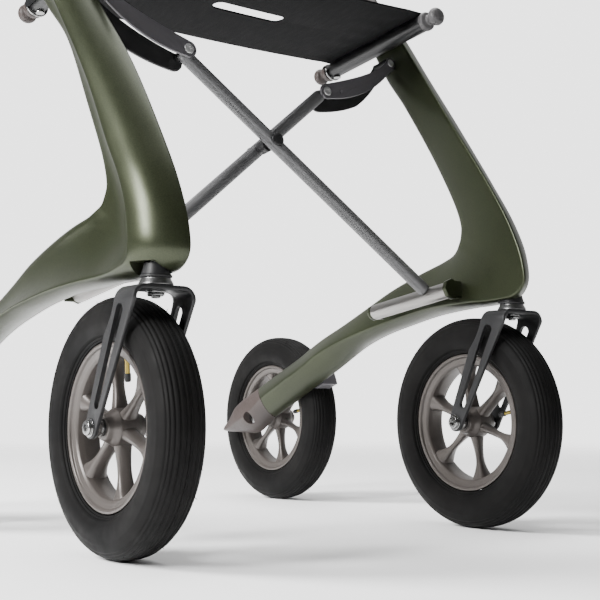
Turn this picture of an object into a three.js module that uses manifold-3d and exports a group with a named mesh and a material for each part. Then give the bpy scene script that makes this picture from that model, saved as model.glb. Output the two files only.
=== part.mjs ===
// Four-wheeled walking frame (rollator) with two swivelling front forks, pneumatic wheels, a cross-braced
// folding seat frame, height-adjustable handles and rear-wheel brakes.
//
// Millimetres, +Z up. The walker faces -Y, so +X is the user's left. The origin is on the floor, midway
// between the axles and between the two sides. Inside the chassis group y is counted rearward from the front
// axle. Inside the brace group y runs along the fold axes and z up the plane in which the cross brace folds.
import * as THREE from "three";
import { mergeVertices } from "three/addons/utils/BufferGeometryUtils.js";
import Module from "manifold-3d";

const wasm = await Module();
wasm.setup();

// ---- driving dimensions ----
const GAP = 0.3;                     // clearance between touching pieces
const WHEEL_RADIUS = 127;
const TYRE_HALF_WIDTH = 26;
const RIM_RADIUS = 82.4;
const RIM_HALF_WIDTH = 17.6;
const HUB_HALF_WIDTH = 22;
const AXLE_RADIUS = 6;
const WHEELBASE = 491;
const FRONT_WHEEL_X = 243;
const REAR_WHEEL_X = 306;

const TRAIL = 62.9;                  // steering axis ahead of the front axle
const FORK_HALF_WIDTH = 34;
const FORK_THICKNESS = 4.5;
const CROWN_TOP = 259.5;
const CAP_BASE = 267.3;
const CAP_TOP = 281;

const FOLD_TILT = THREE.MathUtils.degToRad(8);
const FOLD_ANGLE = THREE.MathUtils.degToRad(39.4);
const PIVOT_X = 215;                 // lower pivots of the cross brace
const PIVOT_HEIGHT = 288;
const HALF_BRACE = PIVOT_X / Math.cos(FOLD_ANGLE);
const BRACE_LENGTH = 424.6;
const BRACE_RADIUS = 8.25;
const PIVOT_TUBE_RADIUS = 10;
const FRONT_TUBE_AT = 30;            // places of the two cross tubes' heads along the fold axis
const REAR_TUBE_AT = 63;
const TUBE_RAKE = 22;                // how far forward of its head each cross tube's foot is
const LINK_PIN_X = 228;
const LINK_PIN_HEIGHT = 617;
const PLATE_THICKNESS = 3.5;
const PLATE_OFFSET = BRACE_RADIUS + 3.6;

const RAIL_X = 226;
const RAIL_RADIUS = 11;
const RAIL_FRONT = new THREE.Vector3(RAIL_X, 44.8, 643.4);
const RAIL_REAR = new THREE.Vector3(RAIL_X, 278, 618.4);
const RAIL_INSET = 20;               // from the middle of an end knob to the rail tube
const SEAT_HALF_WIDTH = 234;
const SEAT_SPAN = 205;               // half the width that hangs free between the rails
const SEAT_SAG = 5;
const SEAT_THICKNESS = 4;

const POST_X = 256;
const POST_RADIUS = 12.5;
const POST_TOP_OF_LEG = new THREE.Vector3(POST_X, 177, 670);
const POST_DIRECTION = new THREE.Vector3(0, 0.614, 0.789).normalize();
const HANDLE_HEIGHT = 868;
const GRIP_FRONT = 398;
const GRIP_REAR = 508;
const LEVER_PIVOT = new THREE.Vector2(386, 838);
const AXLE_HEAD = 258;               // inboard face that the rear axle's head bears on
const BRAKE_PIVOT = new THREE.Vector2(345, 208);

const ROUND = 28;                    // facets round a wheel
const FINE = 14;                     // facets round a smaller turned piece

// ---- finishes ----
function finish(color, roughness, metalness) {
  return new THREE.MeshStandardMaterial({ color, roughness, metalness });
}
const FINISHES = {
  paint: () => finish(0x3c4234, 0.35, 0.6),
  gunmetal: () => finish(0x4b4b4d, 0.5, 0.8),
  tyre: () => finish(0x1c1b1b, 0.85, 0),
  rim: () => finish(0x8d827b, 0.4, 0.8),
  silver: () => finish(0xc4c4c2, 0.3, 0.9),
  brushed: () => finish(0xa8a39e, 0.35, 0.9),
  black: () => finish(0x1e1e1f, 0.6, 0.1),
  plate: () => finish(0x48464a, 0.5, 0.6),
  taupe: () => finish(0x51464a, 0.55, 0.2),
  rubber: () => finish(0x262626, 0.8, 0),
  fabric: () => finish(0x1e1e1e, 0.9, 0),
};

// ---- geometry helpers ----
// Shares vertices between faces and drops the empty triangles that a turned profile has on its axis.
function closed(geometry) {
  const bare = new THREE.BufferGeometry();
  bare.setAttribute("position", geometry.getAttribute("position").clone());
  if (geometry.index) bare.setIndex(geometry.index.clone());
  const merged = mergeVertices(bare, 1e-3);
  const kept = [];
  for (let i = 0; i < merged.index.count; i += 3) {
    const [a, b, c] = [0, 1, 2].map((k) => merged.index.getX(i + k));
    if (a !== b && b !== c && a !== c) kept.push(a, b, c);
  }
  merged.setIndex(kept);
  return merged;
}

function toSolid(geometry) {
  const { attributes, index } = closed(geometry);
  return new wasm.Manifold(new wasm.Mesh({
    numProp: 3,
    vertProperties: new Float32Array(attributes.position.array),
    triVerts: new Uint32Array(index.array),
  }));
}

function toGeometry(solid) {
  const { vertProperties, triVerts } = solid.getMesh();
  const geometry = new THREE.BufferGeometry();
  geometry.setAttribute("position", new THREE.BufferAttribute(new Float32Array(vertProperties), 3));
  geometry.setIndex(new THREE.BufferAttribute(new Uint32Array(triVerts), 1));
  return geometry;
}

function cut(geometry, ...tools) {
  return toGeometry(tools.reduce((body, tool) => body.subtract(toSolid(tool)), toSolid(geometry)));
}

function join(geometry, ...others) {
  return toGeometry(others.reduce((body, other) => body.add(toSolid(other)), toSolid(geometry)));
}

function turnFacesOver(geometry) {
  const { index } = geometry;
  for (let i = 0; i < index.count; i += 3) {
    const second = index.getX(i + 1);
    index.setX(i + 1, index.getX(i + 2));
    index.setX(i + 2, second);
  }
  return geometry;
}

// Faces that point in are turned over.
function outward(geometry) {
  const body = closed(geometry);
  return toSolid(body).volume() < 0 ? turnFacesOver(body) : body;
}

// The same geometry on the other side of the walker, with its faces still pointing out.
function mirrored(geometry) {
  return turnFacesOver(closed(geometry).scale(-1, 1, 1));
}

// Skins a row of rings, each with the same number of points, and closes both ends.
function loft(rings) {
  const count = rings[0].length;
  const points = rings.flat();
  const centres = [rings[0], rings.at(-1)].map((ring) =>
    ring.reduce((sum, p) => sum.add(p), new THREE.Vector3()).divideScalar(count));
  points.push(...centres);
  const index = [];
  for (let i = 0; i < count; i++) {
    const j = (i + 1) % count;
    for (let r = 0; r < rings.length - 1; r++) {
      const [a, b] = [r * count, (r + 1) * count];
      index.push(a + i, a + j, b + i, a + j, b + j, b + i);
    }
    const last = (rings.length - 1) * count;
    index.push(rings.length * count, j, i, rings.length * count + 1, last + i, last + j);
  }
  const geometry = new THREE.BufferGeometry().setFromPoints(points);
  geometry.setIndex(index);
  return outward(geometry);
}

// Turns a profile of [radius, distance along the axis] pairs, with the axis from `at` along `direction`.
function turned(profile, at, direction, facets = FINE) {
  const points = profile.map(([radius, along]) => new THREE.Vector2(radius, along));
  const geometry = new THREE.LatheGeometry(points, facets);
  const turn = new THREE.Quaternion().setFromUnitVectors(new THREE.Vector3(0, 1, 0), direction);
  return outward(geometry.applyQuaternion(turn).translate(at.x, at.y, at.z));
}

function rod(radius, from, to, facets = FINE) {
  const along = to.clone().sub(from);
  const length = along.length();
  return turned([[0, 0], [radius, 0], [radius, length], [0, length]], from, along.normalize(), facets);
}

// A round bar along points that lie in a plane of constant x.
function bentBar(points, radiusAt, facets) {
  const side = new THREE.Vector3(1, 0, 0);
  const rings = points.map((point, i) => {
    const before = points[Math.max(i - 1, 0)];
    const after = points[Math.min(i + 1, points.length - 1)];
    const up = side.clone().cross(after.clone().sub(before).normalize());
    const radius = radiusAt(i / (points.length - 1));
    return Array.from({ length: facets }, (_, k) => {
      const turn = (2 * Math.PI * k) / facets;
      return point.clone()
        .addScaledVector(side, radius * Math.cos(turn))
        .addScaledVector(up, radius * Math.sin(turn));
    });
  });
  return loft(rings);
}

// Extrudes a shape drawn in the side view (y, z) from x = low to x = high.
function sidePlate(shape, low, high, curveSegments = 4) {
  const geometry = new THREE.ExtrudeGeometry(shape, {
    depth: high - low, bevelEnabled: false, curveSegments,
  });
  return geometry.rotateX(Math.PI / 2).rotateZ(Math.PI / 2).translate(low, 0, 0);
}

// Extrudes a shape drawn across the walker (x, z) from y = low to y = high.
function crossPlate(shape, low, high, curveSegments = 4) {
  const geometry = new THREE.ExtrudeGeometry(shape, {
    depth: high - low, bevelEnabled: false, curveSegments,
  });
  return geometry.rotateX(Math.PI / 2).translate(0, high, 0);
}

function polygon(points) {
  return new THREE.Shape(points.map(([a, b]) => new THREE.Vector2(a, b)));
}

function disc(a, b, radius) {
  return new THREE.Shape().absarc(a, b, radius, 0, 2 * Math.PI);
}

const X_AXIS = new THREE.Vector3(1, 0, 0);
const Y_AXIS = new THREE.Vector3(0, 1, 0);
const Z_AXIS = new THREE.Vector3(0, 0, 1);

// ---- scene graph ----
const walker = new THREE.Group();
const chassis = new THREE.Group();
chassis.position.y = -WHEELBASE / 2;
walker.add(chassis);
const brace = new THREE.Group();
brace.rotation.x = -FOLD_TILT;
chassis.add(brace);

function add(group, name, look, geometry) {
  const mesh = new THREE.Mesh(closed(geometry), FINISHES[look]());
  mesh.name = name;
  group.add(mesh);
}

// Geometry is drawn for the left side, x above 0, and mirrored for the right side.
function addPair(group, name, look, geometry) {
  add(group, `${name}_left`, look, geometry);
  add(group, `${name}_right`, look, mirrored(geometry));
}

// ---- side frames ----
// Each station is a slice across the shell with three edges, each at [x, y, z]: the inboard crease, which
// runs down the front of the leg and along the underside of the arm, the outboard crease, and the slim edge,
// which is the back of the leg and the top of the arm. `slim` is the width across the slim edge.
const LEG_TO_ARM = [
  { inboard: [239, 159, 684], outboard: [274, 177, 670], edge: [256, 195, 656], slim: 24 },
  { inboard: [238.5, 119, 630], outboard: [274, 138, 615], edge: [252, 161, 597], slim: 16 },
  { inboard: [234, 81, 581], outboard: [271, 102, 564], edge: [246, 119, 547], slim: 14 },
  { inboard: [226, 18, 500], outboard: [268, 42, 481], edge: [248, 62, 459], slim: 13 },
  { inboard: [226, -43, 415], outboard: [268, -5, 405], edge: [248, 26, 395], slim: 13 },
  { inboard: [226, -78, 358], outboard: [268, -32, 364], edge: [248, 18, 371], slim: 13 },
  { inboard: [226, -96, 314], outboard: [268, -45, 333], edge: [248, 18, 363], slim: 13 },
  { inboard: [226, -98, 289], outboard: [268, -50, 300], edge: [249, 20.5, 354], slim: 13 },
  { inboard: [226, -84, 276], outboard: [267, -45, 285], edge: [250, 25, 346], slim: 13 },
  { inboard: [226, -45, 272], outboard: [267, -22, 277], edge: [253, 32, 340], slim: 13 },
  { inboard: [227, 0, 272], outboard: [268, 5, 273], edge: [256, 42, 334], slim: 13 },
  { inboard: [230, 45, 271], outboard: [273, 42, 270.5], edge: [260, 66, 327], slim: 13 },
  { inboard: [236, 88, 268], outboard: [279, 90, 266], edge: [261, 107, 316], slim: 14 },
  { inboard: [240, 147, 259.5], outboard: [285, 150, 256.5], edge: [261, 165, 297.5], slim: 15 },
  { inboard: [240, 198, 250], outboard: [287, 197, 247], edge: [260, 215, 276.5], slim: 16 },
  { inboard: [240, 251, 238], outboard: [286, 245, 231], edge: [260, 265, 256.5], slim: 16 },
  { inboard: [240, 307, 221], outboard: [279, 300, 200], edge: [259.5, 321, 235], slim: 16 },
  { inboard: [240.5, 352, 200], outboard: [276.5, 349, 176.5], edge: [259.5, 370, 211.5], slim: 17 },
  { inboard: [241, 402, 179], outboard: [276, 398, 153.5], edge: [259.5, 424, 189], slim: 18 },
  { inboard: [242, 452, 157], outboard: [276, 456, 128], edge: [259.5, 470, 169], slim: 18 },
];
// The rear end of the arm is a moulding that holds the rear axle and ends in a toe for lifting over kerbs.
const ARM_END = [
  { inboard: [242, 453, 156.6], outboard: [276, 457, 127.6], edge: [259.5, 471, 168.6], slim: 18 },
  { inboard: [243, 500, 128], outboard: [275, 498, 104], edge: [259.5, 514, 149.5], slim: 20 },
  { inboard: [246, 530, 118], outboard: [272, 528, 103], edge: [259.5, 538, 137], slim: 18 },
  { inboard: [250, 552, 110], outboard: [268, 552, 104], edge: [259.5, 556, 122], slim: 12 },
  { inboard: [255, 574, 107], outboard: [264, 574, 105.5], edge: [259.5, 575, 111], slim: 5 },
];
const FRONT_BULGE = 0.14;            // how far the sides bow, as a share of their length
const OUTER_SCOOP = 0.12;
const INNER_BULGE = 0.03;

// A side of a slice from a to b, bowed away from `inside` by `bow` times its length (towards it if below 0).
function bowedSide(a, b, inside, along, bow, count) {
  const chord = b.clone().sub(a);
  const out = chord.clone().cross(along).normalize();
  const middle = a.clone().lerp(b, 0.5);
  if (out.dot(inside.clone().sub(middle)) > 0) out.negate();
  const curve = new THREE.QuadraticBezierCurve3(
    a, middle.addScaledVector(out, 2 * bow * chord.length()), b);
  return curve.getPoints(count).slice(0, -1);
}

function shellSlice(inboard, outboard, edge, slim, along) {
  const half = new THREE.Vector3(slim / 2, 0, 0);
  const [outerLip, innerLip] = [edge.clone().add(half), edge.clone().sub(half)];
  const tip = edge.clone().sub(inboard.clone().lerp(outboard, 0.5)).setX(0).setLength(slim * 0.3);
  return [
    ...bowedSide(inboard, outboard, edge, along, FRONT_BULGE, 5),
    ...bowedSide(outboard, outerLip, inboard, along, -OUTER_SCOOP, 4),
    outerLip, edge.clone().add(half.clone().multiplyScalar(0.6)).add(tip),
    edge.clone().sub(half.clone().multiplyScalar(0.6)).add(tip),
    ...bowedSide(innerLip, inboard, outboard, along, INNER_BULGE, 3),
  ];
}

function shell(stations, steps) {
  const curve = (key) => new THREE.CatmullRomCurve3(
    stations.map((s) => new THREE.Vector3(...s[key])), false, "centripetal");
  const [inboard, outboard, edge] = ["inboard", "outboard", "edge"].map(curve);
  const slim = new THREE.CatmullRomCurve3(stations.map((s, i) => new THREE.Vector3(s.slim, 9 * i, 0)));
  const rings = [];
  for (let i = 0; i <= steps; i++) {
    const t = i / steps;
    const along = edge.getTangent(t).add(inboard.getTangent(t)).setX(0).normalize();
    rings.push(shellSlice(inboard.getPoint(t), outboard.getPoint(t), edge.getPoint(t),
      slim.getPoint(t).x, along));
  }
  return loft(rings);
}

const steeringFoot = new THREE.Vector3(FRONT_WHEEL_X, -TRAIL, 0);
const postBoreEnd = POST_TOP_OF_LEG.clone().addScaledVector(POST_DIRECTION, -118);
const postBoreMouth = POST_TOP_OF_LEG.clone().addScaledVector(POST_DIRECTION, 60);

function sideFrame() {
  const notchCone = turned(
    [[0, 250], [21, 250], [12.8, CAP_TOP + 1.2], [0, CAP_TOP + 1.2]], steeringFoot, Z_AXIS);
  const notchSide = sidePlate(polygon([
    [-TRAIL - 21, 250], [-TRAIL + 21, 250],
    [-TRAIL + 12.8, CAP_TOP + 1.2], [-TRAIL - 12.8, CAP_TOP + 1.2]]), FRONT_WHEEL_X, FRONT_WHEEL_X + 40);
  const stemBore = turned([[0, 250], [7, 250], [7, 332], [0, 332]], steeringFoot, Z_AXIS, 12);
  const postBore = rod(POST_RADIUS + 0.5, postBoreEnd, postBoreMouth);
  return cut(shell(LEG_TO_ARM, 30), notchCone, notchSide, stemBore, postBore);
}

const frameGeometry = sideFrame();
addPair(chassis, "side_frame", "paint", frameGeometry);

const axleBore = rod(AXLE_RADIUS + GAP, new THREE.Vector3(200, WHEELBASE, WHEEL_RADIUS),
  new THREE.Vector3(300, WHEELBASE, WHEEL_RADIUS), 12);
const axleRecess = rod(9.5, new THREE.Vector3(230, WHEELBASE, WHEEL_RADIUS),
  new THREE.Vector3(AXLE_HEAD, WHEELBASE, WHEEL_RADIUS), 12);
addPair(chassis, "kerb_pedal", "taupe", cut(shell(ARM_END, 8), axleBore, axleRecess));

// ---- steering heads and forks ----
const capRing = turned([[6.9, CAP_BASE], [15.5, CAP_BASE], [11.2, CAP_TOP], [6.9, CAP_TOP], [6.9, CAP_BASE]],
  steeringFoot, Z_AXIS);
addPair(chassis, "steering_cap", "black", capRing);

const CROWN_UNDER = CROWN_TOP - FORK_THICKNESS;
addPair(chassis, "fork_stem", "silver", turned([
  [0, CROWN_UNDER - 8], [8, CROWN_UNDER - 8], [8, CROWN_UNDER - GAP], [6, CROWN_UNDER - GAP],
  [6, CROWN_TOP + GAP], [14, CROWN_TOP + GAP], [14, CAP_BASE - GAP], [6, CAP_BASE - GAP],
  [6, 325], [0, 325]], steeringFoot, Z_AXIS));

function roundedU(halfWidth, bottom, top, radius) {
  const shape = new THREE.Shape();
  shape.moveTo(-halfWidth, bottom);
  shape.lineTo(halfWidth, bottom);
  shape.lineTo(halfWidth, top - radius);
  shape.absarc(halfWidth - radius, top - radius, radius, 0, Math.PI / 2);
  shape.absarc(radius - halfWidth, top - radius, radius, Math.PI / 2, Math.PI);
  return shape;
}

// A flat bar bent over the tyre, tapering down to the axle, with a long slot in each leg.
function fork() {
  const low = WHEEL_RADIUS - 14;
  const outer = crossPlate(roundedU(FORK_HALF_WIDTH, low, CROWN_TOP, 13), -90, 20);
  const inner = crossPlate(
    roundedU(FORK_HALF_WIDTH - FORK_THICKNESS, low - 5, CROWN_UNDER, 8.5), -95, 25);
  const bar = new THREE.Shape();
  bar.moveTo(-TRAIL - 17.5, CROWN_TOP + 1);
  bar.lineTo(-TRAIL - 17.5, 246);
  bar.lineTo(-10.5, WHEEL_RADIUS - 3);
  bar.absarc(0, WHEEL_RADIUS, 11, Math.PI + 0.3, 2 * Math.PI + 0.45);
  bar.lineTo(-24, 214);
  bar.quadraticCurveTo(-TRAIL + 17.5, 238, -TRAIL + 17.5, CROWN_TOP + 1);
  const slot = new THREE.Shape();
  slot.absarc(-55, 236, 6.5, 0.45, Math.PI + 0.1);
  slot.absarc(-12.5, 149, 4.5, Math.PI + 0.45, 2 * Math.PI + 0.45);
  const profile = sidePlate(bar, -60, 60);
  const stemHole = turned([[0, 200], [6.3, 200], [6.3, 300], [0, 300]],
    new THREE.Vector3(0, -TRAIL, 0), Z_AXIS, 12);
  const axleHole = rod(AXLE_RADIUS - 1.7, new THREE.Vector3(-60, 0, WHEEL_RADIUS),
    new THREE.Vector3(60, 0, WHEEL_RADIUS), 12);
  const body = toSolid(cut(outer, inner)).intersect(toSolid(profile));
  return cut(toGeometry(body), sidePlate(slot, -60, 60), stemHole, axleHole);
}
addPair(chassis, "fork", "gunmetal", fork().translate(FRONT_WHEEL_X, 0, 0));

// ---- wheels ----
function tyre() {
  const tread = 11;
  const side = [[15, 83], [21, 86], [TYRE_HALF_WIDTH, 101], [24.5, 114], [19, 122],
    [tread, WHEEL_RADIUS]];
  const half = side.map(([along, radius]) => [radius / Math.cos(Math.PI / ROUND), along]);
  const profile = [...half, ...half.toReversed().map(([radius, along]) => [radius, -along])];
  profile.push(profile[0]);
  return turned(profile, new THREE.Vector3(), X_AXIS, ROUND).rotateX(Math.PI / ROUND);
}

function rim() {
  const half = [[RIM_RADIUS, RIM_HALF_WIDTH], [67, 16.5], [64, 9]];
  const profile = [...half, ...half.toReversed().map(([radius, along]) => [radius, -along])];
  profile.push(profile[0]);
  const barrel = turned(profile.toReversed(), new THREE.Vector3(), X_AXIS, ROUND).rotateX(Math.PI / ROUND);
  const spokes = [];
  const count = 6;
  for (let i = 0; i < count; i++) {
    const spoke = sidePlate(polygon([[12, -7], [40, -4.5], [67, -11], [67, 11], [40, 4.5], [12, 7]]),
      -9, 9);
    spokes.push(spoke.rotateX((2 * Math.PI * i) / count + Math.PI / 9));
  }
  const hub = turned([[0, -HUB_HALF_WIDTH], [11, -HUB_HALF_WIDTH], [19, -12], [19, 12],
    [11, HUB_HALF_WIDTH], [0, HUB_HALF_WIDTH]], new THREE.Vector3(), X_AXIS, 12);
  const bore = rod(AXLE_RADIUS + 0.3, new THREE.Vector3(-40, 0, 0), new THREE.Vector3(40, 0, 0), 12);
  return cut(join(barrel, ...spokes, hub), bore);
}

const tyreGeometry = tyre();
const rimGeometry = rim();
for (const [end, x, y] of [["front", FRONT_WHEEL_X, 0], ["rear", REAR_WHEEL_X, WHEELBASE]]) {
  addPair(chassis, `${end}_tyre`, "tyre", tyreGeometry.clone().translate(x, y, WHEEL_RADIUS));
  addPair(chassis, `${end}_rim`, "rim", rimGeometry.clone().translate(x, y, WHEEL_RADIUS));
}

const forkFace = FORK_HALF_WIDTH + GAP;
const forkInside = FORK_HALF_WIDTH - FORK_THICKNESS - GAP;
addPair(chassis, "front_axle", "silver", turned([
  [0, -forkFace - 3.5], [9, -forkFace - 3.5], [9, -forkFace], [4, -forkFace], [4, -forkInside],
  [8.5, -forkInside], [8.5, -HUB_HALF_WIDTH - GAP], [AXLE_RADIUS, -HUB_HALF_WIDTH - GAP],
  [AXLE_RADIUS, HUB_HALF_WIDTH + GAP], [8.5, HUB_HALF_WIDTH + GAP], [8.5, forkInside], [4, forkInside],
  [4, forkFace], [9, forkFace], [9, forkFace + 3.5], [0, forkFace + 3.5]],
new THREE.Vector3(FRONT_WHEEL_X, 0, WHEEL_RADIUS), X_AXIS, 12));

const armOutside = 276.8;
addPair(chassis, "rear_axle", "silver", turned([
  [0, AXLE_HEAD - 7], [9, AXLE_HEAD - 7], [9, AXLE_HEAD - GAP], [AXLE_RADIUS, AXLE_HEAD - GAP],
  [AXLE_RADIUS, armOutside],
  [9, armOutside], [9, REAR_WHEEL_X - HUB_HALF_WIDTH - GAP],
  [AXLE_RADIUS, REAR_WHEEL_X - HUB_HALF_WIDTH - GAP],
  [AXLE_RADIUS, REAR_WHEEL_X + HUB_HALF_WIDTH + GAP], [9, REAR_WHEEL_X + HUB_HALF_WIDTH + GAP],
  [9, REAR_WHEEL_X + HUB_HALF_WIDTH + 3.3], [0, REAR_WHEEL_X + HUB_HALF_WIDTH + 3.3]],
new THREE.Vector3(0, WHEELBASE, WHEEL_RADIUS), X_AXIS, 12));

// ---- rear brakes ----
// A shoe in front of the tyre on an arm that turns about a pin in the side frame.
function brakeShoe() {
  const faceRadius = WHEEL_RADIUS + 3.6;
  const [from, to] = [149, 160].map(THREE.MathUtils.degToRad);
  const block = new THREE.Shape();
  block.absarc(WHEELBASE, WHEEL_RADIUS, faceRadius, from, to, false);
  block.absarc(WHEELBASE, WHEEL_RADIUS, faceRadius + 20, to, from, true);
  const middle = (from + to) / 2;
  const foot = new THREE.Vector2(Math.cos(middle), Math.sin(middle)).multiplyScalar(faceRadius + 10)
    .add(new THREE.Vector2(WHEELBASE, WHEEL_RADIUS));
  const arm = new THREE.Shape();
  const lean = Math.atan2(foot.y - BRAKE_PIVOT.y, foot.x - BRAKE_PIVOT.x);
  arm.absarc(BRAKE_PIVOT.x, BRAKE_PIVOT.y, 9, lean + Math.PI / 2, lean + 1.5 * Math.PI);
  arm.absarc(foot.x, foot.y, 7, lean - Math.PI / 2, lean + Math.PI / 2);
  return join(sidePlate(arm, 280, 286), sidePlate(block, 283, 311));
}
addPair(chassis, "brake_shoe", "plate", brakeShoe());

// ---- seat rails ----
const railAxis = RAIL_REAR.clone().sub(RAIL_FRONT).normalize();
const railUp = X_AXIS.clone().cross(railAxis);
const railFrom = RAIL_FRONT.clone().addScaledVector(railAxis, RAIL_INSET);
const railTo = RAIL_REAR.clone().addScaledVector(railAxis, -RAIL_INSET);
addPair(chassis, "seat_rail", "black", rod(RAIL_RADIUS, railFrom, railTo, 16));

const knobProfile = [[0, GAP], [12.2, GAP], [12.2, 7], [6.6, 9.5], [6, 13.5], [10.5, 17.5], [11.8, 22],
  [9.5, 27.5], [4, 30], [0, 30]];
addPair(chassis, "rail_knob_rear", "taupe", turned(knobProfile, railTo, railAxis, 16));
addPair(chassis, "rail_knob_front", "taupe",
  turned(knobProfile, railFrom, railAxis.clone().negate(), 16));

// ---- seat ----
// A fabric sling that lies over both rails and sags between them, with a hand slot for folding.
function seatSling() {
  const depth = railFrom.distanceTo(railTo) - 4;
  const places = [-SEAT_HALF_WIDTH];
  for (let share = -1; share <= 1; share += 0.25) places.push(share * SEAT_SPAN);
  places.push(SEAT_HALF_WIDTH);
  const rings = places.map((x) => {
    const drop = SEAT_SAG * Math.max(0, 1 - (x / SEAT_SPAN) ** 2);
    const corner = (along, lift) => railFrom.clone().setX(x)
      .addScaledVector(railAxis, along).addScaledVector(railUp, RAIL_RADIUS + 0.4 - drop + lift);
    return [corner(2, 0), corner(2 + depth, 0), corner(2 + depth, SEAT_THICKNESS),
      corner(2, SEAT_THICKNESS)];
  });
  const slot = new THREE.BoxGeometry(104, 20, 200).translate(16, 160, 640);
  return cut(loft(rings), slot);
}
add(chassis, "seat_sling", "fabric", seatSling());

// ---- folding cross brace ----
function inBrace(x, along, height) {
  return new THREE.Vector3(x, along, height);
}

function crossTube(side, at) {
  const direction = new THREE.Vector3(
    -side * Math.cos(FOLD_ANGLE), TUBE_RAKE / BRACE_LENGTH, Math.sin(FOLD_ANGLE));
  const foot = inBrace(side * PIVOT_X, at - TUBE_RAKE, PIVOT_HEIGHT);
  const start = PIVOT_TUBE_RADIUS + 3 * GAP;
  const from = foot.clone().addScaledVector(direction, start);
  const tube = turned([[0, 0], [BRACE_RADIUS, 0], [BRACE_RADIUS, BRACE_LENGTH - start - 2],
    [6, BRACE_LENGTH - start + 3], [0, BRACE_LENGTH - start + 3]],
    from, direction.clone().normalize(), 16);
  const centre = foot.clone().addScaledVector(direction, HALF_BRACE);
  const hole = rod(4.4, centre.clone().setY(at - 20), centre.clone().setY(at + 20), 12);
  return cut(tube, hole);
}
add(brace, "cross_tube_front", "gunmetal", crossTube(1, FRONT_TUBE_AT));
add(brace, "cross_tube_rear", "gunmetal", crossTube(-1, REAR_TUBE_AT));

const crossHeight = PIVOT_HEIGHT + HALF_BRACE * Math.sin(FOLD_ANGLE);
const tubeReach = BRACE_RADIUS + 1.2;
const [frontAtCross, rearAtCross] = [FRONT_TUBE_AT, REAR_TUBE_AT].map(
  (at) => at - TUBE_RAKE * (1 - HALF_BRACE / BRACE_LENGTH));
add(brace, "cross_pivot_pin", "taupe", turned([
  [0, frontAtCross - tubeReach - 3.5], [7, frontAtCross - tubeReach - 3.5],
  [8.5, frontAtCross - tubeReach], [3.9, frontAtCross - tubeReach], [3.9, frontAtCross + tubeReach],
  [8, frontAtCross + tubeReach], [8, rearAtCross - tubeReach], [3.9, rearAtCross - tubeReach],
  [3.9, rearAtCross + tubeReach], [7.5, rearAtCross + tubeReach], [7.5, rearAtCross + tubeReach + 4],
  [0, rearAtCross + tubeReach + 4]], inBrace(0, 0, crossHeight), Y_AXIS, 12));

// Each cross tube is fixed at its foot to a tube that turns between two brackets on the side frame.
const PIVOT_TUBE_FROM = -27;
const PIVOT_TUBE_TO = 113;
addPair(brace, "pivot_tube", "brushed", rod(PIVOT_TUBE_RADIUS,
  inBrace(PIVOT_X, PIVOT_TUBE_FROM, PIVOT_HEIGHT), inBrace(PIVOT_X, PIVOT_TUBE_TO, PIVOT_HEIGHT)));

// The side frame seen from the brace group, moved in and forward by the gap, to trim the brackets on it.
const frameInBrace = closed(frameGeometry).rotateX(FOLD_TILT).translate(-GAP, -GAP, 0);

function bracket(x, height, radius, low, high) {
  const eye = crossPlate(disc(x, height, radius), low, high);
  const reach = x + 16;
  const tab = crossPlate(polygon([[x, height - 0.8 * radius], [reach, height - 0.8 * radius],
    [reach, height + 0.8 * radius], [x, height + 0.8 * radius]]), low, high);
  const pieces = toSolid(join(eye, tab)).subtract(toSolid(frameInBrace)).decompose();
  return toGeometry(pieces.find((piece) => piece.boundingBox().min[0] < x));
}
addPair(brace, "pivot_bracket_front", "black",
  bracket(PIVOT_X, PIVOT_HEIGHT, 13, PIVOT_TUBE_FROM - GAP - 6, PIVOT_TUBE_FROM - GAP));
addPair(brace, "pivot_bracket_rear", "black",
  bracket(PIVOT_X, PIVOT_HEIGHT, 10.5, PIVOT_TUBE_TO + GAP, PIVOT_TUBE_TO + GAP + 5));

// ---- seat links ----
// Two curved plates either side of a cross tube's head, hung from a pin bracket on the leg. They bow downward
// so that they pass the seat rail when the walker is folded.
const tubeHead = new THREE.Vector2(
  (BRACE_LENGTH - HALF_BRACE) * Math.cos(FOLD_ANGLE), PIVOT_HEIGHT + BRACE_LENGTH * Math.sin(FOLD_ANGLE));
const linkPin = new THREE.Vector2(LINK_PIN_X, LINK_PIN_HEIGHT);
const linkLength = linkPin.distanceTo(tubeHead);
const linkLean = Math.atan2(linkPin.y - tubeHead.y, linkPin.x - tubeHead.x);

// Drawn from the pin bracket at (0, 0) to the tube head at (-length, 0), then leaned into place.
function frontPlate() {
  const shape = new THREE.Shape();
  shape.absarc(0, 0, 7.5, -Math.PI / 2, Math.PI / 2);
  shape.bezierCurveTo(-20, -9, -90, 3, -linkLength, 10);
  shape.absarc(-linkLength, 0, 10, Math.PI / 2, Math.PI * 1.5);
  shape.quadraticCurveTo(-linkLength / 2, -34, 0, -7.5);
  return shape;
}

function rearPlate() {
  const shape = new THREE.Shape();
  shape.absarc(0, 0, 8, -Math.PI / 4, Math.PI / 2);
  shape.bezierCurveTo(-20, -10, -90, -6, -linkLength, 4);
  shape.lineTo(-linkLength - 12, -12);
  shape.quadraticCurveTo(-linkLength * 0.75, -34, -linkLength * 0.5, -32);
  shape.quadraticCurveTo(-linkLength * 0.2, -26, 8 * Math.cos(Math.PI / 4), -8 * Math.sin(Math.PI / 4));
  return shape;
}

function linkPlate(shape, low, high) {
  return crossPlate(shape, low, high).rotateY(-linkLean).translate(linkPin.x, 0, linkPin.y);
}

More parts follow.
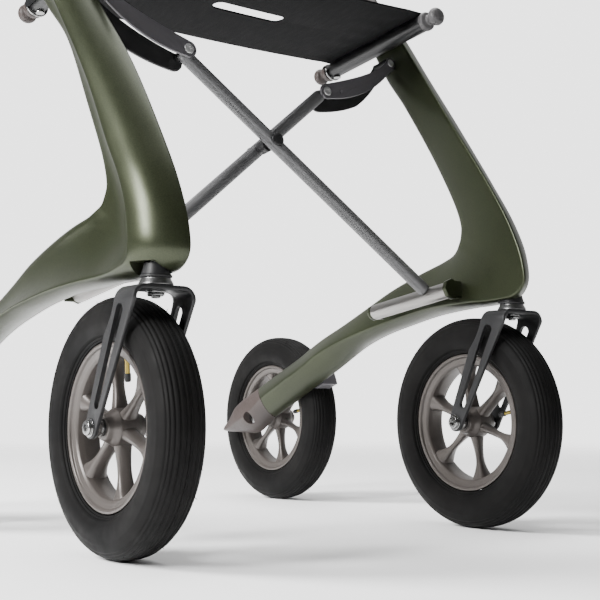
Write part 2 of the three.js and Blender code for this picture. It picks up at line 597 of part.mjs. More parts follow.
for (const [side, at] of [["right", FRONT_TUBE_AT], ["left", REAR_TUBE_AT]]) {
  const own = (geometry) => (side === "right" ? mirrored(geometry) : geometry);
  const frontHigh = at - PLATE_OFFSET;
  const rearLow = at + PLATE_OFFSET;
  add(brace, `link_front_${side}`, "plate", own(linkPlate(frontPlate(), frontHigh - PLATE_THICKNESS,
    frontHigh)));
  add(brace, `link_rear_${side}`, "black", own(linkPlate(rearPlate(), rearLow,
    rearLow + PLATE_THICKNESS)));
  add(brace, `link_bracket_${side}`, "black", own(bracket(LINK_PIN_X, LINK_PIN_HEIGHT, 8,
    frontHigh + GAP, rearLow - GAP)));
}

// ---- handles ----
const collarProfile = [[POST_RADIUS + 0.5, 0], [19, 0], [17.5, 20], [POST_RADIUS + 0.5, 20],
  [POST_RADIUS + 0.5, 0]];
const collarFoot = POST_TOP_OF_LEG.clone().addScaledVector(POST_DIRECTION, 0.6);
const buttonAxis = new THREE.Vector3(0, POST_DIRECTION.z, -POST_DIRECTION.y);
const buttonMiddle = POST_TOP_OF_LEG.clone().addScaledVector(POST_DIRECTION, 10.6);
const buttonAt = (radius) => buttonMiddle.clone().addScaledVector(buttonAxis, radius);
addPair(chassis, "post_collar", "taupe",
  cut(turned(collarProfile, collarFoot, POST_DIRECTION), rod(5.4, buttonAt(5), buttonAt(30))));

function handlePost() {
  const foot = POST_TOP_OF_LEG.clone().addScaledVector(POST_DIRECTION, -90);
  const reach = (height) => (height - POST_TOP_OF_LEG.z) / POST_DIRECTION.z;
  const bendStart = POST_TOP_OF_LEG.clone().addScaledVector(POST_DIRECTION, reach(HANDLE_HEIGHT - 33));
  const corner = POST_TOP_OF_LEG.clone().addScaledVector(POST_DIRECTION, reach(HANDLE_HEIGHT));
  const bendEnd = corner.clone().setY(corner.y + corner.distanceTo(bendStart));
  const bend = new THREE.QuadraticBezierCurve3(bendStart, corner, bendEnd);
  const points = [foot, ...bend.getPoints(6), new THREE.Vector3(POST_X, GRIP_REAR - 8, HANDLE_HEIGHT)];
  return bentBar(points, () => POST_RADIUS, 14);
}
addPair(chassis, "handle_post", "taupe", handlePost());

// Sprung button on the back of the leg that frees the post.
addPair(chassis, "height_button", "silver",
  turned([[0, 0], [5, 0], [5, 7], [7, 7.4], [7, 10], [5.5, 11.5], [0, 11.5]], buttonAt(16), buttonAxis, 12));

function grip() {
  const points = [];
  const steps = 8;
  for (let i = 0; i <= steps; i++) {
    points.push(new THREE.Vector3(POST_X, THREE.MathUtils.lerp(GRIP_FRONT, GRIP_REAR, i / steps),
      HANDLE_HEIGHT));
  }
  const swell = (t) => 16.5 + 1.8 * Math.sin(Math.PI * t) - (t === 1 ? 3 : 0);
  const bore = rod(POST_RADIUS + 0.4, new THREE.Vector3(POST_X, GRIP_FRONT - 10, HANDLE_HEIGHT),
    new THREE.Vector3(POST_X, GRIP_REAR - 7.5, HANDLE_HEIGHT));
  return cut(bentBar(points, swell, 18), bore);
}
addPair(chassis, "grip", "rubber", grip());

function leverHousing() {
  const ring = turned([[POST_RADIUS + 0.4, 377], [18, 377], [18, 397], [POST_RADIUS + 0.4, 397],
    [POST_RADIUS + 0.4, 377]], new THREE.Vector3(POST_X, 0, HANDLE_HEIGHT), Y_AXIS);
  const ear = polygon([[377, 852], [377, 832], [383, 828], [391, 828], [397, 834], [397, 852]]);
  const ears = [[POST_X - 9, POST_X - 5.5], [POST_X + 5.5, POST_X + 9]].map(([a, b]) => sidePlate(ear, a, b));
  return join(ring, ...ears);
}
addPair(chassis, "lever_housing", "black", leverHousing());

function brakeLever() {
  const path = [[LEVER_PIVOT.x, LEVER_PIVOT.y], [393, 827], [404, 820], [420, 817], [455, 815], [488, 815],
    [496, 817]];
  return bentBar(path.map(([y, z]) => new THREE.Vector3(POST_X, y, z)), () => 4.8, 12);
}
addPair(chassis, "brake_lever", "black", brakeLever());

export default walker;
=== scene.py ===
import random
from math import atan2, copysign, cos, exp, hypot, pi, radians, sin, sqrt

import bmesh
import bpy
import numpy as np
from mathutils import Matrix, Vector
from numpy.linalg import norm


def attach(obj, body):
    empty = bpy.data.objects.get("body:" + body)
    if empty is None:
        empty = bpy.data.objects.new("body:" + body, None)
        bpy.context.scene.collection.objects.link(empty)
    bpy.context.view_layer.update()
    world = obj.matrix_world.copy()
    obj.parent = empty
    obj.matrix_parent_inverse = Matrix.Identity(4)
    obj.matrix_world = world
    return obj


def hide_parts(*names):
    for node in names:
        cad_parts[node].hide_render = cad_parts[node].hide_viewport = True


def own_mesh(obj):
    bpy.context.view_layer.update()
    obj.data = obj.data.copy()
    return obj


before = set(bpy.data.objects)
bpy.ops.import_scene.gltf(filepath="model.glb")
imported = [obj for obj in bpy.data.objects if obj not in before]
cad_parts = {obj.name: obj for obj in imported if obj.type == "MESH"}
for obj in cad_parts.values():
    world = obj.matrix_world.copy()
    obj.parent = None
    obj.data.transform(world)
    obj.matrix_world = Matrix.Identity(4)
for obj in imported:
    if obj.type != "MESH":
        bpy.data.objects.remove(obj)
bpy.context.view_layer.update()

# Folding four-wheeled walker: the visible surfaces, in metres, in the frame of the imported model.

# ---- sizes, in millimetres, y counted rearward from the front axle ----
WHEELBASE = 491.0
WHEEL_RADIUS = 127.0
FRONT_WHEEL_X = 243.0
REAR_WHEEL_X = 306.0
WHEELS = {"front": np.array([FRONT_WHEEL_X, 0.0, WHEEL_RADIUS]),
          "rear": np.array([REAR_WHEEL_X, WHEELBASE, WHEEL_RADIUS])}
REAR_AXLE = (0, WHEELBASE, WHEEL_RADIUS)
TRAIL = 62.9
STEERING_FOOT = (FRONT_WHEEL_X, -TRAIL, 0)
CROWN_TOP = 259.5
FORK_HALF_WIDTH = 34.0
FORK_THICKNESS = 4.5
CAP_BASE = 267.3
CAP_TOP = 281.0
HUB_HALF_WIDTH = 22.0
AXLE_HEAD = 258.0
FOLD_TILT = radians(8)
FOLD_ANGLE = radians(39.4)
PIVOT_X = 215.0
PIVOT_HEIGHT = 288.0
HALF_BRACE = PIVOT_X / cos(FOLD_ANGLE)
BRACE_LENGTH = 424.6
BRACE_RADIUS = 8.25
PIVOT_TUBE_RADIUS = 10.0
PIVOT_TUBE = (-27.0, 113.0)
FRONT_TUBE_AT = 30.0
REAR_TUBE_AT = 63.0
TUBE_RAKE = 22.0
LINK_PIN = (228.0, 617.0)
PLATE_THICKNESS = 3.5
PLATE_OFFSET = BRACE_RADIUS + 3.6
RAIL_FRONT = np.array([226.0, 44.8, 643.4])
RAIL_REAR = np.array([226.0, 278.0, 618.4])
RAIL_INSET = 20.0
RAIL_RADIUS = 11.0
SEAT_SPAN = 205.0
SEAT_SAG = 5.0
SLOT_MIDDLE = (16.0, 94.0)
SLOT_HALF = 42.0
SLOT_RADIUS = 10.0
SLING_THICKNESS = 2.0
HEM = 11.0
POST_FOOT = np.array([256.0, 177.0, 670.0])
POST_AXIS = np.array([0.0, 0.614, 0.789]) / hypot(0.614, 0.789)
POST_RADIUS = 12.5
HANDLE_HEIGHT = 868.0
SIDES = {"left": 1, "right": -1}
OUTWARD, REARWARD, UPWARD = (1, 0, 0), (0, 1, 0), (0, 0, 1)
AXIS = 0.01     # the smallest radius of a lathe profile


# ---- node materials ----
def add_node(tree, kind, settings=(), **inputs):
    """A new node; an input is given by its socket's name, or by i and its number."""
    node = tree.nodes.new(kind)
    for key, value in dict(settings).items():
        setattr(node, key, value)
    for key, value in inputs.items():
        numbered = key[0] == "i" and key[1:].isdigit()
        socket = node.inputs[int(key[1:]) if numbered else key.replace("_", " ")]
        if isinstance(value, bpy.types.NodeSocket):
            tree.links.new(value, socket)
        else:
            socket.default_value = value
    return node


class Look:
    """A Principled material whose nodes are added one line at a time."""

    def __init__(self, name, slot, **sockets):
        self.slot = slot
        self.material = bpy.data.materials.new(name)
        self.material.use_nodes = True
        self.tree = self.material.node_tree
        self.bsdf = self.tree.nodes["Principled BSDF"]
        for key, value in sockets.items():
            self.bsdf.inputs[key.replace("_", " ")].default_value = value
        self.place = self.node("ShaderNodeTexCoord").outputs["Object"]

    def node(self, kind, settings=(), **inputs):
        return add_node(self.tree, kind, settings, **inputs)

    def noise(self, scale, detail=3.0, stretch=(1, 1, 1), roughness=0.5):
        place = self.node("ShaderNodeMapping", Vector=self.place, Scale=stretch).outputs[0]
        return self.node("ShaderNodeTexNoise", Vector=place, Scale=scale, Detail=detail,
                         Roughness=roughness).outputs["Fac"]

    def spread(self, value, low, high, at=(0.3, 0.7)):
        return self.node("ShaderNodeMapRange", Value=value, From_Min=at[0], From_Max=at[1],
                         To_Min=low, To_Max=high).outputs[0]

    def tint(self, value, first, second, at=(0.3, 0.7)):
        factor = self.spread(value, 0.0, 1.0, at)
        node = self.node("ShaderNodeMix", {"data_type": "RGBA"}, Factor=factor)
        node.inputs[6].default_value = (*first, 1)
        node.inputs[7].default_value = (*second, 1)
        return node.outputs[2]

    def colour(self, value):
        self.tree.links.new(value, self.bsdf.inputs["Base Color"])

    def rough(self, value):
        self.tree.links.new(value, self.bsdf.inputs["Roughness"])

    def bump(self, *layers):
        normal = None
        for height, strength, distance in layers:
            node = self.node("ShaderNodeBump", Height=height, Strength=strength, Distance=distance)
            if normal:
                self.tree.links.new(normal, node.inputs["Normal"])
            normal = node.outputs[0]
        self.tree.links.new(normal, self.bsdf.inputs["Normal"])


def painted(name, slot, light, dark, metallic, rough, grain, coat=0.0, ripple=240.0):
    look = Look(name, slot, Metallic=metallic, Coat_Weight=coat, Coat_Roughness=0.22)
    flake = look.noise(grain, 2.0)
    cloud = look.noise(9.0, 4.0)
    blend = look.node("ShaderNodeMath", {"operation": "ADD"}, i0=look.spread(flake, 0.0, 0.55),
                      i1=look.spread(cloud, 0.0, 0.45)).outputs[0]
    look.colour(look.tint(blend, dark, light, (0.0, 1.0)))
    look.rough(look.spread(look.noise(grain * 0.35, 5.0), *rough))
    look.bump((look.noise(ripple, 2.0), 0.025, 0.0004))
    return look


def moulded(name, slot, light, dark, rough, grain, strength):
    look = Look(name, slot)
    look.colour(look.tint(look.noise(30.0, 5.0), dark, light))
    look.rough(look.spread(look.noise(grain * 0.3, 4.0), *rough))
    look.bump((look.noise(grain * 0.4, 3.0), strength * 0.4, 0.0003))
    return look


def metal(name, slot, light, dark, rough, stretch=(1, 1, 1)):
    look = Look(name, slot, Metallic=1.0)
    streak = look.noise(160.0, 4.0, stretch)
    look.colour(look.tint(streak, dark, light))
    look.rough(look.spread(streak, *rough))
    look.bump((look.noise(500.0, 3.0, stretch), 0.02, 0.0002))
    return look


def rubber():
    look = Look("tyre_rubber", "tyre_rubber", Specular_IOR_Level=0.09)
    dust = look.noise(14.0, 6.0, roughness=0.6)
    look.colour(look.tint(dust, (0.0048, 0.0047, 0.0047), (0.0085, 0.008, 0.0077), (0.35, 0.75)))
    look.rough(look.spread(look.noise(60.0, 5.0), 0.5, 0.68))
    look.bump((look.noise(500.0, 3.0), 0.05, 0.0003), (look.noise(120.0, 3.0), 0.04, 0.0005))
    return look


def woven(name, slot, light, dark, pitch):
    look = Look(name, slot, Sheen_Weight=0.02, Sheen_Roughness=0.5, Specular_IOR_Level=0.08)
    threads = []
    for direction in ("X", "Y"):
        wave = look.node("ShaderNodeTexWave", {"bands_direction": direction, "wave_profile": "SIN"},
                         Vector=look.place, Scale=pi / (10 * pitch), Distortion=0.6, Detail=2.0)
        threads.append(wave.outputs["Fac"])
    weave = look.node("ShaderNodeMath", {"operation": "MULTIPLY"}, i0=threads[0], i1=threads[1]).outputs[0]
    slub = look.noise(220.0, 4.0, (1, 0.2, 1))
    look.colour(look.tint(slub, dark, light))
    look.rough(look.spread(slub, 0.72, 0.9))
    look.bump((weave, 0.35, 0.0005), (look.noise(45.0, 4.0), 0.12, 0.002))
    return look


LOOKS = {
    "paint": painted("frame_paint", "frame_paint", (0.045, 0.0525, 0.0265), (0.022, 0.0265, 0.0133),
                     0.66, (0.285, 0.35), 800.0, 0.15),
    "gunmetal": painted("fork_paint", "gunmetal", (0.024, 0.024, 0.025), (0.017, 0.017, 0.0175),
                        0.3, (0.36, 0.46), 1900.0),
    "tube": painted("brace_tube", "gunmetal", (0.15, 0.15, 0.153), (0.13, 0.13, 0.133), 0.3,
                    (0.38, 0.41), 60.0, 0.0, 8.0),
    "tyre": rubber(),
    "rim": painted("rim_alloy", "rim_alloy", (0.105, 0.093, 0.086), (0.08, 0.07, 0.064), 0.5,
                   (0.32, 0.42), 1500.0, 0.15),
    "silver": metal("zinc_steel", "steel", (0.42, 0.42, 0.415), (0.3, 0.3, 0.3), (0.15, 0.26)),
    "flange": metal("turned_steel", "steel", (0.24, 0.24, 0.24), (0.17, 0.17, 0.17), (0.32, 0.4)),
    "zinc": metal("bright_zinc", "steel", (0.9, 0.9, 0.9), (0.75, 0.75, 0.75), (0.42, 0.5)),
    "brushed": metal("satin_tube", "brushed_tube", (0.42, 0.406, 0.39), (0.32, 0.308, 0.296), (0.29, 0.36),
                     (1, 0.08, 1)),
    "brass": metal("valve_brass", "steel", (0.42, 0.32, 0.09), (0.32, 0.24, 0.06), (0.29, 0.36)),
    "black": moulded("black_plastic", "black_plastic", (0.012, 0.012, 0.0125), (0.008, 0.008, 0.0085),
                     (0.4, 0.55), 1300.0, 0.14),
    "rail": painted("rail_coat", "black_plastic", (0.011, 0.011, 0.0115), (0.0075, 0.0075, 0.008), 0.2,
                    (0.3, 0.4), 1700.0),
    "plate": painted("plate_coat", "plate_grey", (0.12, 0.115, 0.124), (0.09, 0.086, 0.093), 0.3,
                     (0.4, 0.52), 1700.0),
    "taupe": moulded("taupe_plastic", "taupe_plastic", (0.042, 0.031, 0.028), (0.029, 0.0215, 0.0195),
                     (0.4, 0.54), 1200.0, 0.12),
    "knob": moulded("knob_plastic", "taupe_plastic", (0.075, 0.072, 0.074), (0.053, 0.051, 0.052),
                    (0.36, 0.5), 1200.0, 0.1),
    "rubber": moulded("grip_rubber", "grip_rubber", (0.015, 0.015, 0.015), (0.01, 0.01, 0.01),
                      (0.6, 0.78), 900.0, 0.3),
    "fabric": woven("seat_fabric", "seat_fabric", (0.0075, 0.0075, 0.008), (0.0045, 0.0045, 0.0048), 0.0011),
    "thread": moulded("seat_thread", "seat_fabric", (0.016, 0.016, 0.0165), (0.011, 0.011, 0.0115),
                      (0.6, 0.75), 2500.0, 0.3),
}


# ---- geometry in millimetres, as lists of points and faces ----
def at_chassis(points):
    points = np.asarray(points, float)
    return (points - [0.0, WHEELBASE / 2, 0.0]) / 1000


def at_brace(points):
    """Points given as (x, along the fold axis, height in the folding plane)."""
    x, along, height = np.asarray(points, float).T
    y = along * cos(FOLD_TILT) + height * sin(FOLD_TILT)
    z = height * cos(FOLD_TILT) - along * sin(FOLD_TILT)
    return at_chassis(np.stack([x, y, z], 1))


def lofted(rings, caps=True):
    rings = [np.asarray(ring, float) for ring in rings]
    count = len(rings[0])
    points = np.concatenate(rings)
    faces = []
    for r in range(len(rings) - 1):
        low = r * count
        for i in range(count):
            j = (i + 1) % count
            faces.append((low + i, low + j, low + count + j, low + count + i))
    if caps:
        faces.append(tuple(range(count))[::-1])
        faces.append(tuple(range(len(points) - count, len(points))))
    return points, faces


def rounded(profile, radius, steps=4):
    """The same open line with its inner corners rounded off."""
    profile = [np.asarray(p, float) for p in profile]
    line = [profile[0]]
    for before, corner, after in zip(profile, profile[1:], profile[2:]):
        reach = [min(radius, norm(p - corner) / 2.1) for p in (before, after)]
        start, end = (corner + (p - corner) / max(norm(p - corner), 1e-9) * r
                      for p, r in zip((before, after), reach))
        for k in range(steps + 1):
            t = k / steps
            line.append((1 - t) ** 2 * start + 2 * t * (1 - t) * corner + t * t * end)
    return line + [profile[-1]]


def across(direction):
    direction = np.asarray(direction, float) / norm(direction)
    helper = np.array([0.0, 0.0, 1.0]) if abs(direction[2]) < 0.9 else np.array([1.0, 0.0, 0.0])
    first = np.cross(direction, helper)
    first /= norm(first)
    return direction, first, np.cross(direction, first)


def capped(*line):
    """A lathe profile taken to the axis at both of its ends."""
    return [(AXIS, line[0][1]), *line, (AXIS, line[-1][1])]


def turned(profile, origin, direction, segments=40, turn=0.0, closed=False):
    """A lathe body from (radius, distance along the axis) pairs."""
    direction, first, second = across(direction)
    angles = turn + np.arange(segments) * 2 * pi / segments
    rings = [np.asarray(origin) + direction * along + radius * (
        np.outer(np.cos(angles), first) + np.outer(np.sin(angles), second)) for radius, along in profile]
    if not closed:
        return lofted(rings)
    points, faces = lofted(rings, caps=False)
    last = (len(rings) - 1) * segments
    for i in range(segments):
        j = (i + 1) % segments
        faces.append((last + i, last + j, j, i))
    return points, faces


def rod(radius, start, end, segments=40, edge=0.8):
    start, end = np.asarray(start, float), np.asarray(end, float)
    profile = rounded(capped((radius, 0), (radius, norm(end - start))), edge)
    return turned(profile, start, end - start, segments)


def swept(points, section, side=(1.0, 0.0, 0.0)):
    """Rings of section(t), a list of (sideways, up) pairs, along a path."""
    points = np.asarray(points, float)
    side = np.asarray(side, float)
    rings = []
    for i, point in enumerate(points):
        along = points[min(i + 1, len(points) - 1)] - points[max(i - 1, 0)]
        up = np.cross(side, along / norm(along))
        rings.append([point + u * side + v * up for u, v in section(i / (len(points) - 1))])
    return lofted(rings)


def oval(wide, high, count=24, power=1.0):
    angles = np.arange(count) * 2 * pi / count
    shape = lambda v: np.sign(v) * np.abs(v) ** power
    return list(zip(wide * shape(np.cos(angles)), high * shape(np.sin(angles))))


def arc(x, y, radius, start, end, count=12):
    return [(x + radius * cos(t), y + radius * sin(t)) for t in np.linspace(start, end, count + 1)]


def bezier(points, count=14):
    points = np.asarray(points, float)
    line = []
    for t in np.linspace(0, 1, count + 1):
        row = points
        while len(row) > 1:
            row = row[:-1] * (1 - t) + row[1:] * t
        line.append(tuple(row[0]))
    return line


def new_object(name, data):
    obj = bpy.data.objects.new(name, data)
    bpy.context.scene.collection.objects.link(obj)
    return obj


def evaluated_mesh(obj):
    return bpy.data.meshes.new_from_object(obj.evaluated_get(bpy.context.evaluated_depsgraph_get()))


def flat_plate(outline, holes, low, high, edge):
    """A plate from a closed outline with holes, its edges eased, as (u, v, depth) points."""
    curve = bpy.data.curves.new("plate_outline", "CURVE")
    curve.dimensions = "2D"
    curve.fill_mode = "BOTH"
    curve.extrude = (high - low) / 2 - edge
    curve.bevel_depth = edge
    curve.bevel_resolution = 2
    curve.offset = -edge
    for loop in [outline, *holes]:
        spline = curve.splines.new("POLY")
        spline.points.add(len(loop) - 1)
        for point, (u, v) in zip(spline.points, loop):
            point.co = (u, v, 0, 1)
        spline.use_cyclic_u = True
    holder = new_object("plate_outline", curve)
    mesh = evaluated_mesh(holder)
    points = np.array([tuple(v.co) for v in mesh.vertices]) + [0, 0, (low + high) / 2]
    faces = [tuple(p.vertices) for p in mesh.polygons]
    bpy.data.objects.remove(holder)
    bpy.data.curves.remove(curve)
    bpy.data.meshes.remove(mesh)
    return points, faces


def together(*bodies):
    points, faces = [], []
    for body_points, body_faces in bodies:
        base = sum(len(p) for p in points)
        points.append(np.asarray(body_points))
        faces += [tuple(base + i for i in face) for face in body_faces]
    return np.concatenate(points), faces


def filled(mesh, work):
    work.to_mesh(mesh)
    work.free()
    return mesh


def new_mesh(name, body, place=at_chassis):
    """A mesh of points in millimetres and faces; place takes the points to the frame, in metres."""
    points, faces = body
    mesh = bpy.data.meshes.new(name)
    mesh.from_pydata([tuple(p) for p in place(points)], [], faces)
    work = bmesh.new()
    work.from_mesh(mesh)
    bmesh.ops.remove_doubles(work, verts=work.verts, dist=1e-6)
    bmesh.ops.recalc_face_normals(work, faces=work.faces)
    return filled(mesh, work)


def boolean(name, body, *cutters):
    """A mesh of the body with the cutters taken out of it."""
    holder = new_object("cut_body", new_mesh(name, body))
    tools = [new_object("cut_tool", new_mesh("cut_tool", cutter)) for cutter in cutters]
    for tool in tools:
        change = holder.modifiers.new("cut", "BOOLEAN")
        change.operation = "DIFFERENCE"
        change.solver = "EXACT"
        change.object = tool
    result = evaluated_mesh(holder)
    for obj in [holder, *tools]:
        bpy.data.objects.remove(obj)
    return result


def mirrored(mesh):
    work = bmesh.new()
    work.from_mesh(mesh)
    for vert in work.verts:
        vert.co.x = -vert.co.x
    bmesh.ops.reverse_faces(work, faces=work.faces)
    return filled(mesh.copy(), work)


def piece(name, mesh, look, body, nodes=(), sharp=32.0):
    obj = new_object(name, mesh)
    mesh.shade_smooth()
    mesh.set_sharp_from_angle(angle=radians(sharp))
    mesh.materials.clear()
    mesh.materials.append(LOOKS[look].material)
    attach(obj, body)
    if nodes:
        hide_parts(*nodes)
    return obj


def pair(name, body, look, rides, nodes=(), sharp=32.0):
    """A piece drawn for the left side and mirrored to the right, with the side added to every name."""
    left = body if isinstance(body, bpy.types.Mesh) else new_mesh(f"{name}_left", body)
    for side in SIDES:
        mesh = left if side == "left" else mirrored(left)
        piece(f"{name}_{side}", mesh, look, f"{side}_{rides}", [f"{node}_{side}" for node in nodes], sharp)


def eased_pair(base, name, look, rides, edge):
    """The carried-over solids of both sides, with flat facets merged and edges rounded."""
    for side in SIDES:
        node = f"{base}_{side}"
        work = bmesh.new()
        work.from_mesh(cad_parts[node].data)
        bmesh.ops.remove_doubles(work, verts=work.verts, dist=1e-6)
        bmesh.ops.dissolve_limit(work, angle_limit=radians(1), verts=work.verts, edges=work.edges)
        edges = [e for e in work.edges
                 if len(e.link_faces) == 2 and e.calc_face_angle(0) > radians(33)]
        bmesh.ops.bevel(work, geom=edges, offset=edge / 1000, segments=2, profile=0.5, affect="EDGES",
                        clamp_overlap=True)
        mesh = filled(bpy.data.meshes.new(node + "_eased"), work)
        piece(f"{name}_{side}", mesh, look, f"{side}_{rides}", [node], 30)


# ---- camera, light and floor ----
def set_up_studio():
    camera = new_object("camera", bpy.data.cameras.new("camera"))
    camera.location = (-0.7888, -1.2490, 0.1510)
    camera.rotation_euler = (radians(95.05), 0.0, radians(-37.25))
    camera.data.lens = 69.5
    camera.data.sensor_width = 36.0
    camera.data.clip_start = 0.05
    bpy.context.scene.camera = camera

    reach = 4.0
    corners = [(-reach, -reach, 0), (reach, -reach, 0), (reach, reach, 0), (-reach, reach, 0)]
    floor = new_object("floor", new_mesh("floor", (corners, [(0, 1, 2, 3)]), np.asarray))
    pale = Look("studio_floor", None, Specular_IOR_Level=0.15)
    pale.colour(pale.tint(pale.noise(3.0, 2.0), (0.93, 0.93, 0.93), (0.95, 0.95, 0.95)))
    pale.rough(pale.spread(pale.noise(40.0, 2.0), 0.6, 0.66))
    distance = pale.node("ShaderNodeVectorMath", {"operation": "LENGTH"}, i0=pale.place).outputs["Value"]
    fade = pale.node("ShaderNodeMapRange", {"interpolation_type": "SMOOTHSTEP"}, Value=distance,
                     From_Min=0.9, From_Max=3.4, To_Min=1.0, To_Max=0.0).outputs[0]
    pale.tree.links.new(fade, pale.bsdf.inputs["Alpha"])
    floor.data.materials.append(pale.material)

    # The world is pale where the camera sees it, and lights the part dimly, most from behind it.
    brightest, backdrop = (0.605, 0.796, 0.25), 2.9
    world = bpy.data.worlds.new("studio")
    world.use_nodes = True
    tree = world.node_tree
    place = add_node(tree, "ShaderNodeTexCoord").outputs["Generated"]
    facing = add_node(tree, "ShaderNodeVectorMath", {"operation": "DOT_PRODUCT"}, i0=place,
                      i1=brightest).outputs["Value"]
    level = add_node(tree, "ShaderNodeMapRange", {"interpolation_type": "SMOOTHSTEP"}, Value=facing,
                     From_Min=-0.1, From_Max=0.9, To_Min=0.12, To_Max=0.7).outputs[0]
    seen = add_node(tree, "ShaderNodeLightPath").outputs["Is Camera Ray"]
    strength = add_node(tree, "ShaderNodeMix", i0=seen, i2=level, i3=backdrop).outputs[0]
    tree.links.new(strength, tree.nodes["Background"].inputs["Strength"])
    tree.nodes["Background"].inputs["Color"].default_value = (1, 1, 1, 1)
    bpy.context.scene.world = world

    for name, place, aim, size, power, mirrored_in_gloss in [
            ("key", (-2.3, 1.75, 2.0), (0.0, 0.0, 0.2), (1.3, 1.3), 345.0, False),
            ("side", (-2.5, -0.3, 1.45), (-0.25, -0.15, 0.5), (0.6, 1.3), 120.0, True),
            ("top", (0.3, 0.4, 3.2), (0.0, 0.0, 0.3), (2.4, 2.4), 90.0, True)]:
        light = new_object(name, bpy.data.lights.new(name, "AREA"))
        light.data.shape = "RECTANGLE"
        light.data.size, light.data.size_y = size
        light.data.energy = power
        light.visible_glossy = mirrored_in_gloss
        light.location = place
        light.rotation_euler = (Vector(aim) - Vector(place)).to_track_quat("-Z", "Y").to_euler()


# ---- side frames ----
# Slices across the shell: the inboard crease, the outboard crease, the slim edge and its width.
LEG_TO_ARM = [
    ((239, 159, 684), (274, 177, 670), (256, 195, 656), 24),
    ((238.5, 119, 630), (274, 138, 615), (252, 161, 597), 16),
    ((234, 81, 581), (271, 102, 564), (246, 119, 547), 14),
    ((226, 18, 500), (268, 42, 481), (248, 62, 459), 13),
    ((226, -43, 415), (268, -5, 405), (248, 26, 395), 13),
    ((226, -78, 358), (268, -32, 364), (248, 18, 371), 13),
    ((226, -96, 314), (268, -45, 333), (248, 18, 363), 13),
    ((226, -98, 289), (268, -50, 300), (249, 20.5, 354), 13),
    ((226, -84, 276), (267, -45, 285), (250, 25, 346), 13),
    ((226, -45, 272), (267, -22, 277), (253, 32, 340), 13),
    ((227, 0, 272), (268, 5, 273), (256, 42, 334), 13),
    ((230, 45, 271), (273, 42, 270.5), (260, 66, 327), 13),
    ((236, 88, 268), (279, 90, 266), (261, 107, 316), 14),
    ((240, 147, 259.5), (285, 150, 256.5), (261, 165, 297.5), 15),
    ((240, 198, 250), (287, 197, 247), (260, 215, 276.5), 16),
    ((240, 251, 238), (286, 245, 231), (260, 265, 256.5), 16),
    ((240, 307, 221), (279, 300, 200), (259.5, 321, 235), 16),
    ((240.5, 352, 200), (276.5, 349, 176.5), (259.5, 370, 211.5), 17),
    ((241, 402, 179), (276, 398, 153.5), (259.5, 424, 189), 18),
    ((242, 452, 157), (276, 456, 128), (259.5, 470, 169), 18),
]
ARM_END = [
    ((242, 453, 156.6), (276, 457, 127.6), (259.5, 471, 168.6), 18),
    ((243, 500, 128), (275, 498, 104), (259.5, 514, 149.5), 20),
    ((246, 530, 118), (272, 528, 103), (259.5, 538, 137), 18),
    ((250, 552, 110), (268, 552, 104), (259.5, 556, 122), 12),
    ((255, 574, 107), (264, 574, 105.5), (259.5, 575, 111), 5),
]


def centripetal(points, t):
    """A point on the centripetal Catmull-Rom curve through the points, with t from 0 to 1."""
    points = np.asarray(points, float)
    place = t * (len(points) - 1)
    i = min(int(place), len(points) - 2)
    w = place - i
    p1, p2 = points[i], points[i + 1]
    p0 = points[i - 1] if i else 2 * p1 - p2
    p3 = points[i + 2] if i + 2 < len(points) else 2 * p2 - p1
    d0, d1, d2 = (max(norm(b - a) ** 0.5, 1e-6) for a, b in ((p0, p1), (p1, p2), (p2, p3)))
    m1 = ((p1 - p0) / d0 - (p2 - p0) / (d0 + d1) + (p2 - p1) / d1) * d1
    m2 = ((p2 - p1) / d1 - (p3 - p1) / (d1 + d2) + (p3 - p2) / d2) * d1
    return (p1 + m1 * w + (3 * (p2 - p1) - 2 * m1 - m2) * w ** 2
            + (2 * (p1 - p2) + m1 + m2) * w ** 3)


def bowed_side(a, b, inside, along, bow, count):
    out = np.cross(b - a, along)
    out /= norm(out)
    middle = (a + b) / 2
    if out @ (inside - middle) > 0:
        out = -out
    control = middle + out * 2 * bow * norm(b - a)
    t = (1 - np.cos(np.linspace(0, pi, count + 1)[:-1]))[:, None] / 2
    return (1 - t) ** 2 * a + 2 * t * (1 - t) * control + t * t * b


def softened(ring, spread):
    """A closed ring with its corners rounded by averaging along its length."""
    step = norm(np.roll(ring, -1, 0) - ring, axis=1)
    total = step.sum()
    place = np.concatenate([[0], np.cumsum(step)[:-1]])
    weight = (step + np.roll(step, 1)) / 2
    gap = np.abs(place[:, None] - place[None, :])
    gap = np.minimum(gap, total - gap)
    pull = np.exp(-(gap / spread) ** 2) * weight
    return (pull / pull.sum(1, keepdims=True)) @ ring


def shell(stations, steps, spread):
    lines = [[s[k] for s in stations] for k in range(3)]
    slims = [s[3] for s in stations]
    rings = []
    for t in np.linspace(0, 1, steps + 1):
        inboard, outboard, edge = (centripetal(line, t) for line in lines)
        slim = np.interp(t * (len(slims) - 1), range(len(slims)), slims)
        ahead, behind = min(t + 1e-3, 1), max(t - 1e-3, 0)
        along = sum(centripetal(line, ahead) - centripetal(line, behind) for line in (lines[0], lines[2]))
        along[0] = 0
        along /= norm(along)
        half = np.array([slim / 2, 0, 0])
        tip = edge - (inboard + outboard) / 2
        tip[0] = 0
        tip *= slim * 0.3 / norm(tip)
        ring = np.concatenate([
            bowed_side(inboard, outboard, edge, along, 0.14, 22),
            bowed_side(outboard, edge + half, inboard, along, -0.12, 26),
            bowed_side(edge + half, edge + 0.6 * half + tip, inboard, along, 0.05, 5),
            bowed_side(edge + 0.6 * half + tip, edge - 0.6 * half + tip, inboard, along, 0.08, 6),
            bowed_side(edge - 0.6 * half + tip, edge - half, outboard, along, 0.05, 5),
            bowed_side(edge - half, inboard, outboard, along, 0.03, 26)])
        rings.append(softened(ring, spread(t)))
    return lofted(rings)


